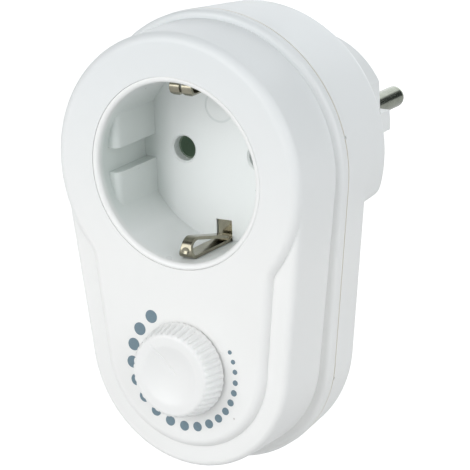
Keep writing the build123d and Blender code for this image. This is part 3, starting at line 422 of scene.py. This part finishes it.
def dress(names, finish):
    """Gives CAD nodes a finish and smooth shading."""
    for name in names:
        piece = NODES[name]
        smooth_node(piece)
        piece.data.materials.clear()
        piece.data.materials.append(finish.material)


def skin(name, points, closed=True, caps=(False, False)):
    """A surface from a grid of points, rows by columns. Columns may close into rings, and an end row may be
    capped by a fan to its own middle. Faces point to the left of the way the rows run as the columns go
    round."""
    rows, columns = points.shape[:2]
    count = columns if closed else columns - 1
    row, column = np.meshgrid(np.arange(rows - 1), np.arange(count), indexing="ij")
    after = (column + 1) % columns
    near, far = row * columns, (row + 1) * columns
    quads = np.stack((near + column, near + after, far + after, far + column), -1).reshape(-1, 4)
    vertices = points.reshape(-1, 3)
    fans = []
    ring = np.arange(columns)
    for end, capped in enumerate(caps):
        if capped:
            start = end * (rows - 1) * columns
            middle = len(vertices)
            vertices = np.vstack([vertices, points[-end].mean(0)])
            here, after = start + ring, start + (ring + 1) % columns
            pair = (here, after) if end else (after, here)
            fans.append(np.stack([*pair, np.full(columns, middle)], -1))
    fan = np.concatenate(fans) if fans else np.zeros((0, 3), int)
    mesh = bpy.data.meshes.new(name)
    mesh.vertices.add(len(vertices))
    mesh.vertices.foreach_set("co", vertices.astype(np.float32).ravel())
    loops = np.concatenate([quads.ravel(), fan.ravel()])
    mesh.loops.add(len(loops))
    mesh.loops.foreach_set("vertex_index", loops.astype(np.int32))
    starts = np.concatenate([np.arange(len(quads)) * 4, len(quads) * 4 + np.arange(len(fan)) * 3])
    mesh.polygons.add(len(starts))
    mesh.polygons.foreach_set("loop_start", starts.astype(np.int32))
    mesh.polygons.foreach_set("use_smooth", np.ones(len(starts), bool))
    mesh.update(calc_edges=True)
    mesh.validate()
    piece = bpy.data.objects.new(name, mesh)
    bpy.context.scene.collection.objects.link(piece)
    return piece


def arc(centre, radius, start, end, count):
    """Points of an arc in the plane of radius and depth, angles in degrees: the centre plus the radius times
    the cosine of the angle in radius, and times its sine in depth."""
    turn = np.radians(np.linspace(start, end, count))
    return np.stack([centre[0] + radius * np.cos(turn), centre[1] + radius * np.sin(turn)], -1)


def run(start, end, count):
    """Points along a straight run: the start's share falls evenly from one to nothing as the end's grows."""
    step = np.linspace(0.0, 1.0, count)[:, None]
    return np.array(start) * (1 - step) + np.array(end) * step


def seat(piece, body, slot, finish, *nodes):
    """Hands a new piece over: its body, its material and the nodes that it stands for, which it hides. The
    slot is not used.
    """
    piece.data.materials.append(finish.material)
    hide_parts(*nodes)
    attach(piece, body)


def shell_finish(name):
    """White of the shells, with painted shade that makes it darker and cooler higher up, and a warm line
    along the seam that is given a faint glow of painted light.
    """
    settings = bpy.context.scene.dimmer_shell
    finish = moulded(
        name, settings.white, settings.warm_white, settings.gloss, settings.grain, settings.grain_depth,
    )
    # Painted shade: the white goes over to a darker colour towards the top of the shells
    finish.paint(finish.spread(finish.axis("Z"), TOP_SHADE_LOW, TOP_SHADE_HIGH), settings.top_painted_shade)
    # Painted light in the seam: tan paint and a faint emission glow stand in for the light seen in the gap
    near_seam = finish.off(finish.axis("Y"), SEAM_LEVEL)
    finish.paint(finish.spread(near_seam, SEAM_REACH, SEAM_CORE, high=0.85), SEAM_SHADE)
    finish.shader.inputs["Emission Color"].default_value = SEAM_PAINTED_LIGHT
    glow = finish.spread(near_seam, SEAM_REACH, SEAM_CORE, high=settings.seam_painted_light)
    finish.link(glow, finish.shader.inputs["Emission Strength"])
    return finish


class DIMMER_OT_front_shell(bpy.types.Operator):
    """White front shell with its raised keyhole plate."""
    bl_idname = "dimmer.front_shell"
    bl_label = "Front shell"

    def execute(self, context):
        finish = shell_finish("front shell white")
        speck = finish.spread(finish.distance(SPECK_PLACE), SPECK_REACH, SPECK_CORE, high=0.7)
        finish.paint(speck, SPECK_SHADE)
        dress(["front_shell"], finish)
        return {"FINISHED"}


class DIMMER_OT_rear_shell(bpy.types.Operator):
    """White rear shell with the plug body."""
    bl_idname = "dimmer.rear_shell"
    bl_label = "Rear shell"

    def execute(self, context):
        dress(["rear_shell"], shell_finish("rear shell white"))
        return {"FINISHED"}


class DIMMER_OT_socket_well(bpy.types.Operator):
    """Socket well, a cup with guide blocks, a little greener than the shells."""
    bl_idname = "dimmer.socket_well"
    bl_label = "Socket well"

    def execute(self, context):
        settings = context.scene.dimmer_shell
        finish = moulded(
            "well white", settings.well_white, toned(settings.well_white, 0.985),
            settings.gloss - 0.06, settings.grain * 0.7, settings.grain_depth * 0.6,
        )
        # Painted shade on the well's left wall, growing towards minus X
        wall_shade_share = finish.spread(finish.axis("X"), WALL_SHADE_START, WALL_SHADE_END, high=0.9)
        finish.paint(wall_shade_share, settings.well_painted_shade)
        # Painted shade along the ring mark on the well's floor
        ring = finish.off(finish.distance(RING_PLACE), RING_RADIUS)
        finish.paint(finish.spread(ring, RING_REACH, RING_CORE, high=0.6), RING_SHADE)
        finish.paint(finish.spread(finish.axis("Y"), RIM_START, RIM_END), settings.white)
        dress(["socket_insert"], finish)
        return {"FINISHED"}


class DIMMER_OT_plug_face(bpy.types.Operator):
    """End face of the plug body, which carries the pins."""
    bl_idname = "dimmer.plug_face"
    bl_label = "Plug face"

    def execute(self, context):
        settings = context.scene.dimmer_shell
        finish = moulded(
            "plug face white", toned(settings.white, 0.98), settings.warm_white,
            settings.gloss + 0.06, settings.grain, settings.grain_depth * 1.5,
        )
        dress(["plug_insert"], finish)
        return {"FINISHED"}


def knob_profile(settings):
    """Half section of the knob as radius and depth, from the middle of its face over the rim, down the side,
    and round through the hollow to the middle of the roof inside, with the share of the grooves' bite at each
    point. The face is a dish whose depth falls with the square of the radius, run smoothly into the flat rim
    by a soft maximum. The bite grows with the square of the way round the rim, and fades near the base."""
    front, base = KNOB_LOW.y, FRONT_LEVEL - KNOB_GAP
    rim = settings.rim_fillet
    slope = math.atan2(settings.base_radius - settings.front_radius, base - front)
    face_edge = settings.front_radius - rim * math.cos(slope) + rim * math.tan(slope)
    face = run((FACE_START, 0.0), (face_edge, 0.0), FACE_ROWS)
    bowl = settings.dish * (1 - (face[:, 0] / settings.dish_radius) ** 2)
    face[:, 1] = front + DISH_BLEND * np.logaddexp(0.0, bowl / DISH_BLEND)
    corner = arc((face_edge, front + rim), rim, CORNER_START, -math.degrees(slope), CORNER_ROWS)
    wall = run(corner[-1], (settings.base_radius, base - BASE_EDGE), WALL_ROWS)[1:]
    roof, end = front + KNOB_ROOF, KNOB_HIGH.y
    under = np.array([
        (settings.base_radius - BASE_EDGE, base),
        (HOLLOW_RADIUS + SMALL_EDGE, base), (HOLLOW_RADIUS, base - SMALL_EDGE),
        (HOLLOW_RADIUS, roof + SMALL_EDGE), (HOLLOW_RADIUS - SMALL_EDGE, roof),
        (SLEEVE_RADIUS + SMALL_EDGE, roof), (SLEEVE_RADIUS, roof + SMALL_EDGE),
        (SLEEVE_RADIUS, end - SMALL_EDGE), (SLEEVE_RADIUS - SMALL_EDGE, end),
        (BORE_RADIUS + SMALL_EDGE, end), (BORE_RADIUS, end - SMALL_EDGE),
        (BORE_RADIUS, roof + BORE_END), (BORE_RADIUS - SMALL_EDGE, roof), (SMALL_EDGE, roof),
    ])
    ahead = np.clip((base - wall[:, 1]) / GROOVE_FADE, 0.0, 1.0)
    bite = np.concatenate([
        np.zeros(len(face)), np.linspace(0.0, 1.0, len(corner)) ** 2,
        BASE_BITE + (1 - BASE_BITE) * ahead, [END_BITE], np.zeros(len(under) - 1),
    ])
    return np.vstack([face, corner, wall, under]), bite[:, None]


class DIMMER_OT_knob(bpy.types.Operator):
    """Fluted knob. Each point of the profile goes round in a circle. The circle's radius gets less by the
    bite times a power of a wave between nothing and one, which runs once per groove. The bore has a flat:
    there the radius is at most the flat's distance over the sine of the angle. The pointer is a line from
    near the middle outwards, sunk by a bell curve of the distance across it, with both ends faded out."""
    bl_idname = "dimmer.knob"
    bl_label = "Knob"

    def execute(self, context):
        settings = context.scene.dimmer_knob
        profile, bite = knob_profile(settings)
        row = np.arange(len(profile))[:, None]
        columns = settings.flutes * POINTS_PER_FLUTE
        turn = np.linspace(0.0, 2 * math.pi, columns, endpoint=False)
        groove = ((1 - np.cos(settings.flutes * turn)) / 2) ** GROOVE_POWER
        radius = profile[:, :1] - settings.flute_bite * bite * groove
        flat = np.where(np.sin(turn) > FLAT_SINE, BORE_FLAT / np.maximum(np.sin(turn), FLAT_SINE), 1.0)
        radius = np.where(row >= len(profile) - BORE_ROWS, np.minimum(radius, flat), radius)
        along = radius * np.cos(turn - settings.pointer_angle)
        across = radius * np.sin(turn - settings.pointer_angle) + settings.pointer_offset
        line = np.exp(-(across / LINE_WIDTH) ** 2) / (1 + np.exp((LINE_START - along) / LINE_FADE))
        line = line / (1 + np.exp((along - LINE_END) / LINE_FADE))
        depth = profile[:, 1:] + np.where(row < FACE_ROWS, LINE_DEPTH * line, 0.0)
        points = np.stack([
            KNOB_AXIS[0] + radius * np.cos(turn), depth, KNOB_AXIS[2] + radius * np.sin(turn),
        ], -1)
        piece = skin("turning_knob", points[:, ::-1], caps=(True, True))
        other = toned(settings.white, 0.99)
        finish = moulded("knob white", settings.white, other, gloss=0.30, grain=0.18 * MM, depth=0.003 * MM)
        seat(piece, "dial", "knob", finish, "knob")
        return {"FINISHED"}


class DIMMER_OT_dots(bpy.types.Operator):
    """Printed scale of growing dots."""
    bl_idname = "dimmer.dots"
    bl_label = "Scale of dots"

    def execute(self, context):
        settings = context.scene.dimmer_scale
        finish = Finish("dot ink", settings.ink, 0.5, Specular_IOR_Level=0.35)
        worn = finish.spread(finish.noise(0.6 * MM, detail=3.0), start=0.4, end=0.7, high=0.6)
        finish.paint(worn, toned(settings.ink, 1.12))
        finish.polish(finish.noise(0.4 * MM), low=0.42, high=0.58)
        finish.relief(finish.noise(0.12 * MM), 0.006 * MM, strength=0.6)
        dress(["dot_scale"], finish)
        return {"FINISHED"}


class DIMMER_OT_earth_clips(bpy.types.Operator):
    """Spring clips of the earth contact, with their strap behind the well."""
    bl_idname = "dimmer.earth_clips"
    bl_label = "Earth clips"

    def execute(self, context):
        nickel = context.scene.dimmer_metal.clip_nickel
        finish = plated("clip nickel", nickel, toned(nickel, 0.8), 0.14, 0.26)
        dress(["earth_strap"], finish)
        return {"FINISHED"}


class DIMMER_OT_pins(bpy.types.Operator):
    """Nickel plated plug pins."""
    bl_idname = "dimmer.pins"
    bl_label = "Plug pins"

    def execute(self, context):
        nickel = context.scene.dimmer_metal.pin_nickel
        finish = plated("pin nickel", nickel, toned(nickel, 0.86), 0.16, 0.30)
        dress(["live_pin", "neutral_pin"], finish)
        return {"FINISHED"}


class DIMMER_OT_plug_earth(bpy.types.Operator):
    """Earth contact strips on the plug body."""
    bl_idname = "dimmer.plug_earth"
    bl_label = "Plug earth strips"

    def execute(self, context):
        nickel = context.scene.dimmer_metal.pin_nickel
        finish = plated("plug earth nickel", nickel, toned(nickel, 0.82), 0.24, 0.42)
        dress(["plug_earth_strap"], finish)
        return {"FINISHED"}


class DIMMER_OT_contacts(bpy.types.Operator):
    """Nickel silver contact sleeves, brass links, the wiper, and the plastic that carries the sleeves."""
    bl_idname = "dimmer.contacts"
    bl_label = "Contacts and links"

    def execute(self, context):
        brass = context.scene.dimmer_metal.brass
        sleeve = context.scene.dimmer_metal.sleeve
        tarnish_and_painted_glow = plated("sleeve nickel silver", sleeve, toned(sleeve, 0.8), 0.3, 0.5)
        # Painted light: the sleeves glow faintly green so that the pin holes look less dark
        tarnish_and_painted_glow.shader.inputs["Emission Color"].default_value = (0.040, 0.062, 0.043, 1.0)
        tarnish_and_painted_glow.shader.inputs["Emission Strength"].default_value = 0.8
        dress(["live_contact", "neutral_contact"], tarnish_and_painted_glow)
        links = plated("link brass", brass, (0.52, 0.33, 0.13), 0.26, 0.45)
        dress(["neutral_link", "earth_link", "pot_wiper"], links)
        carrier = moulded(
            "carrier plastic", (0.72, 0.71, 0.66), (0.66, 0.65, 0.60), 0.45, 0.3 * MM, 0.006 * MM,
        )
        dress(["contact_cover", "contact_chambers"], carrier)
        return {"FINISHED"}


class DIMMER_OT_screws(bpy.types.Operator):
    """Zinc plated screws."""
    bl_idname = "dimmer.screws"
    bl_label = "Screws"

    def execute(self, context):
        steel = context.scene.dimmer_metal.steel
        finish = plated("screw zinc", steel, (0.50, 0.50, 0.46), 0.28, 0.46, edges=0.1 * MM)
        dress(["housing_screws", "plug_insert_screws", "board_screws", "sink_screw"], finish)
        return {"FINISHED"}


class DIMMER_OT_board(bpy.types.Operator):
    """Phenolic circuit board."""
    bl_idname = "dimmer.board"
    bl_label = "Circuit board"

    def execute(self, context):
        finish = Finish("phenolic board", (0.32, 0.19, 0.07), 0.5)
        fibres = finish.noise(1.0, 4.0, finish.mapped(FIBRE_SIZE, UNTURNED))
        finish.paint(finish.spread(fibres, 0.35, 0.7), (0.42, 0.27, 0.11))
        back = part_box("circuit_board")[1].y
        behind = finish.spread(finish.axis("Y"), back - 0.2 * MM, back - 0.1 * MM)
        tracks = finish.spread(finish.noise(5.0 * MM, detail=0.0), start=0.49, end=0.495)
        finish.paint(finish.combine("MULTIPLY", tracks, behind), (0.55, 0.50, 0.40))
        finish.polish(fibres, 0.40, 0.58)
        finish.relief(fibres, 0.02 * MM, strength=0.6)
        dress(["circuit_board"], finish)
        return {"FINISHED"}


class DIMMER_OT_potentiometer(bpy.types.Operator):
    """Potentiometer case, shaft, rotor, track and terminals."""
    bl_idname = "dimmer.potentiometer"
    bl_label = "Potentiometer"

    def execute(self, context):
        steel = context.scene.dimmer_metal.steel
        dress(["pot_case", "pot_shaft"], plated("pot steel", steel, (0.48, 0.48, 0.44), 0.30, 0.5))
        rotor = moulded("rotor black", (0.02, 0.02, 0.02), (0.03, 0.03, 0.032), 0.42, 0.2 * MM, 0.006 * MM)
        dress(["pot_rotor"], rotor)
        track = Finish("carbon track", (0.035, 0.03, 0.028), 0.6)
        speckle = track.noise(0.15 * MM, detail=4.0)
        track.paint(track.spread(speckle, 0.5, 0.75), (0.09, 0.08, 0.07)).polish(speckle, 0.45, 0.7)
        track.relief(speckle, 0.01 * MM, strength=0.7)
        dress(["pot_track"], track)
        tin = plated("tinned metal", (0.66, 0.66, 0.64), (0.52, 0.52, 0.50), 0.26, 0.44, edges=0.06 * MM)
        dress(["pot_terminals", "triac_legs", "triac_tab"], tin)
        return {"FINISHED"}


class DIMMER_OT_components(bpy.types.Operator):
    """Capacitors, choke, fuse, resistors, trigger diode, triac and heat sink on the board."""
    bl_idname = "dimmer.components"
    bl_label = "Components on the board"

    def execute(self, context):
        yellow = moulded(
            "capacitor yellow", (0.62, 0.40, 0.03), (0.52, 0.33, 0.02), 0.34, 0.4 * MM, 0.008 * MM,
        )
        dress(["suppression_capacitor"], yellow)
        red = moulded("capacitor red", (0.28, 0.03, 0.02), (0.36, 0.05, 0.03), 0.28, 0.6 * MM, 0.02 * MM)
        dress(["timing_capacitor"], red)
        ferrite = Finish("ferrite", (0.035, 0.035, 0.037), 0.55)
        lumps = ferrite.cells(0.3 * MM)
        ferrite.paint(ferrite.spread(lumps, 0.2, 0.7), (0.07, 0.07, 0.072)).polish(lumps, 0.45, 0.7)
        ferrite.relief(lumps, 0.03 * MM, strength=0.7)
        dress(["choke_core"], ferrite)
        copper = Finish(
            "enamelled copper", (0.45, 0.16, 0.05), 0.3, 1.0, Coat_Weight=0.6, Coat_Roughness=0.15,
        )
        wave = copper.tree.nodes.new("ShaderNodeTexWave")
        wave.bands_direction = "Z"
        wave.inputs["Scale"].default_value = math.pi / (10 * WINDING_PITCH)
        wave.inputs["Distortion"].default_value = 0.4
        wave.inputs["Detail Scale"].default_value = 300.0
        copper.link(copper.place, wave.inputs["Vector"])
        turns = wave.outputs["Fac"]
        # Painted shade: darker copper in the valleys between the turns
        copper.paint(copper.spread(turns, 0.0, 0.4, low=1.0, high=0.0), (0.14, 0.04, 0.015))
        copper.polish(turns, low=0.45, high=0.22, start=0.0, end=0.6)
        copper.relief(turns, 0.3 * MM, strength=0.9)
        dress(["choke_winding"], copper)
        glass = Finish("fuse glass", (0.92, 0.95, 0.95), 0.04, Transmission_Weight=1.0, IOR=1.47)
        glass.relief(glass.noise(3.0 * MM), 0.02 * MM, strength=0.4)
        glass.polish(glass.noise(2.0 * MM, detail=3.0), low=0.02, high=0.10)
        dress(["fuse_glass"], glass)
        dress(["fuse_caps"], plated("cap nickel", (0.66, 0.64, 0.58), (0.54, 0.52, 0.46), 0.2, 0.36))
        clips = plated("clip brass", (0.66, 0.50, 0.24), (0.50, 0.36, 0.15), 0.26, 0.44, edges=0.08 * MM)
        dress(["fuse_clips"], clips)
        body = Finish("resistor lacquer", (0.50, 0.35, 0.18), 0.38)
        level = body.axis("Z")
        upper = body.combine("GREATER_THAN", level, RESISTOR_ROWS_SPLIT)
        lower = body.combine("LESS_THAN", level, RESISTOR_ROWS_SPLIT)
        for ring, colour in RESISTOR_RINGS:
            left, right, low = (
                body.spread(body.off(body.axis("X"), middle + ring), RING_OUTSIDE, RING_INSIDE)
                for middle in (*UPPER_RESISTORS, LOWER_RESISTOR)
            )
            high = body.combine("MULTIPLY", body.combine("MAXIMUM", left, right), upper)
            low = body.combine("MULTIPLY", low, lower)
            body.paint(body.combine("MAXIMUM", high, low), colour)
        body.polish(body.noise(0.8 * MM, detail=3.0), low=0.3, high=0.5)
        body.relief(body.noise(0.6 * MM, detail=3.0), 0.03 * MM, strength=0.6)
        dress(["resistors"], body)
        diode = Finish("diode glass", (0.05, 0.13, 0.34), 0.12, Coat_Weight=0.5)
        band = diode.off(diode.axis("X"), DIODE_RING)
        diode.paint(diode.spread(band, 0.40 * MM, 0.34 * MM), (0.02, 0.02, 0.02))
        diode.polish(diode.noise(0.8 * MM, detail=3.0), low=0.08, high=0.22)
        diode.relief(diode.noise(0.5 * MM), 0.01 * MM, strength=0.5)
        dress(["diac"], diode)
        epoxy = moulded(
            "epoxy black", (0.018, 0.018, 0.019), (0.028, 0.028, 0.03), 0.5, 0.12 * MM, 0.008 * MM,
        )
        dress(["triac_body"], epoxy)
        sheet = plated(
            "rolled aluminium", (0.74, 0.75, 0.76), (0.66, 0.67, 0.68), 0.30, 0.50, (0, 0, math.pi / 2),
        )
        dress(["heat_sink"], sheet)
        return {"FINISHED"}


class DIMMER_OT_wires(bpy.types.Operator):
    """Insulated internal leads."""
    bl_idname = "dimmer.wires"
    bl_label = "Internal leads"

    def execute(self, context):
        for node, colour in (("live_in_wire", (0.14, 0.05, 0.02)), ("live_out_wire", (0.02, 0.02, 0.022))):
            other = toned(colour, 1.3)
            dress([node], moulded(node.replace("_", " "), colour, other, 0.38, 0.3 * MM, 0.008 * MM))
        return {"FINISHED"}


class DIMMER_OT_stage(bpy.types.Operator):
    """Pale floor, soft studio lights and the camera."""
    bl_idname = "dimmer.stage"
    bl_label = "Stage"

    def execute(self, context):
        settings = context.scene.dimmer_stage
        low = cad_box[0][2] - settings.floor_drop
        side = np.linspace(-FLOOR_HALF_WIDTH, FLOOR_HALF_WIDTH, FLOOR_POINTS)
        across, away = np.meshgrid(side, side, indexing="xy")
        floor = skin("floor", np.stack([across, away, np.full_like(across, low)], -1), closed=False)
        pale = Finish("pale floor", settings.floor_tint, 0.9, Emission_Color=(1, 1, 1, 1))
        ray = pale.tree.nodes.new("ShaderNodeLightPath").outputs
        mirrored = pale.combine("MULTIPLY", ray["Is Glossy Ray"], FLOOR_MIRRORED)
        seen = pale.combine("MAXIMUM", ray["Is Camera Ray"], mirrored)
        glow = pale.spread(seen, 0.0, 1.0, settings.floor_glow, settings.floor_white)
        pale.link(glow, pale.shader.inputs["Emission Strength"])
        floor.data.materials.append(pale.material)

        context.scene.world = light_tent(settings)
        lamp = bpy.data.lights.new("front softbox", "AREA")
        lamp.shape = "SQUARE"
        lamp.size = SOFTBOX_SIZE
        lamp.energy = settings.front_light
        softbox = bpy.data.objects.new("front softbox", lamp)
        context.scene.collection.objects.link(softbox)
        away = np.array(SOFTBOX_PLACE) - np.array(SOFTBOX_AIM)
        away = away / np.linalg.norm(away)
        right = np.cross([0.0, 0.0, 1.0], away)
        right = right / np.linalg.norm(right)
        softbox.matrix_world = turned(right, np.cross(away, right), away, SOFTBOX_PLACE)

        camera = bpy.data.cameras.new("camera")
        camera.lens = settings.lens
        camera.sensor_width = SENSOR_WIDTH
        camera.clip_start = CLIP_START
        camera.clip_end = CLIP_END
        eye = bpy.data.objects.new("camera", camera)
        context.scene.collection.objects.link(eye)
        a, e, r = settings.azimuth, settings.elevation, settings.roll
        back = np.array([math.sin(a) * math.cos(e), -math.cos(a) * math.cos(e), math.sin(e)])
        right = np.array([math.cos(a), math.sin(a), 0.0])
        up = np.cross(back, right)
        leaned_right = math.cos(r) * right + math.sin(r) * up
        leaned_up = -math.sin(r) * right + math.cos(r) * up
        eye.matrix_world = turned(leaned_right, leaned_up, back, settings.camera_place)
        context.scene.camera = eye
        context.scene.view_settings.view_transform = "Standard"
        return {"FINISHED"}


def light_tent(settings):
    """White tent all round with two gaps to a dark room, which only reflections and soft light see: one
    behind on the right, and one round the camera. The camera itself sees plain white. The light from each
    side falls off with the square of the cosine of the angle to it."""
    world = bpy.data.worlds.new("light tent")
    world.use_nodes = True
    tree = world.node_tree
    way = tree.nodes.new("ShaderNodeTexCoord").outputs["Generated"]
    colour = None
    sides = (
        ((0, 0, 1), settings.sky_top), ((-1, 0, 0), settings.sky_left), ((1, 0, 0), settings.sky_right),
        ((0, -1, 0), settings.sky_front), ((0, 1, 0), settings.sky_back), ((0, 0, -1), settings.sky_low),
    )
    for side, strength in sides:
        dot = join(tree, "ShaderNodeVectorMath", "DOT_PRODUCT", way, side).outputs["Value"]
        positive = join(tree, "ShaderNodeMath", "MAXIMUM", dot, 0.0).outputs[0]
        lobe = join(tree, "ShaderNodeMath", "MULTIPLY", positive, positive).outputs[0]
        light = [strength * c for c in settings.sky]
        scaled = join(tree, "ShaderNodeVectorMath", "SCALE", light, None, None, lobe).outputs[0]
        if colour is None:
            colour = scaled
        else:
            colour = join(tree, "ShaderNodeVectorMath", "ADD", colour, scaled).outputs[0]
    for middle, inner, outer in TENT_GAPS:
        dot = join(tree, "ShaderNodeVectorMath", "DOT_PRODUCT", way, middle).outputs["Value"]
        gap = tree.nodes.new("ShaderNodeMapRange")
        gap.interpolation_type = "SMOOTHSTEP"
        gap.inputs["From Min"].default_value, gap.inputs["From Max"].default_value = outer, inner
        tree.links.new(dot, gap.inputs["Value"])
        colour = mixed(tree, gap.outputs["Result"], colour, settings.dark_room)
    seen = tree.nodes.new("ShaderNodeLightPath").outputs["Is Camera Ray"]
    tree.links.new(mixed(tree, seen, colour, (1.0, 1.0, 1.0)), tree.nodes["Background"].inputs["Color"])
    return world


def mixed(tree, share, first, second):
    """A colour that goes over to a plain second one by a share."""
    mix = tree.nodes.new("ShaderNodeMix")
    mix.data_type = "RGBA"
    mix.inputs[MIX_SECOND].default_value = (*second, 1.0)
    tree.links.new(share, mix.inputs[MIX_SHARE])
    tree.links.new(first, mix.inputs[MIX_FIRST])
    return mix.outputs[MIX_RESULT]


def turned(right, up, back, place):
    """Matrix of an object that looks along minus back, from a place."""
    matrix = np.eye(4)
    matrix[:3, 0], matrix[:3, 1], matrix[:3, 2], matrix[:3, 3] = right, up, back, place
    return Matrix(matrix.tolist())


SETTINGS = (
    ("dimmer_shell", DimmerShellSettings),
    ("dimmer_knob", DimmerKnobSettings),
    ("dimmer_scale", DimmerScaleSettings),
    ("dimmer_metal", DimmerMetalSettings),
    ("dimmer_stage", DimmerStageSettings),
)
OPERATORS = (
    DIMMER_OT_front_shell, DIMMER_OT_rear_shell, DIMMER_OT_socket_well, DIMMER_OT_plug_face, DIMMER_OT_knob,
    DIMMER_OT_dots, DIMMER_OT_earth_clips, DIMMER_OT_pins, DIMMER_OT_plug_earth, DIMMER_OT_contacts,
    DIMMER_OT_screws, DIMMER_OT_board, DIMMER_OT_potentiometer, DIMMER_OT_components, DIMMER_OT_wires,
    DIMMER_OT_stage,
)


class DIMMER_PT_pieces(bpy.types.Panel):
    """Lists the pieces and their settings."""
    bl_idname = "DIMMER_PT_pieces"
    bl_label = "Plug-in dimmer"
    bl_space_type = "VIEW_3D"
    bl_region_type = "UI"
    bl_category = "Dimmer"

    def draw(self, context):
        for operator in OPERATORS:
            self.layout.operator(operator.bl_idname)
        for name, group in SETTINGS:
            box = self.layout.box()
            for key in group.__annotations__:
                box.prop(getattr(context.scene, name), key)


def register():
    for name, group in SETTINGS:
        bpy.utils.register_class(group)
        setattr(bpy.types.Scene, name, PointerProperty(type=group))
    for kind in (*OPERATORS, DIMMER_PT_pieces):
        bpy.utils.register_class(kind)


def unregister():
    for kind in (DIMMER_PT_pieces, *reversed(OPERATORS)):
        bpy.utils.unregister_class(kind)
    for name, group in reversed(SETTINGS):
        delattr(bpy.types.Scene, name)
        bpy.utils.unregister_class(group)


def main():
    register()
    for operator in OPERATORS:
        group, name = operator.bl_idname.split(".")
        getattr(getattr(bpy.ops, group), name)()


if __name__ == "__main__":
    main()
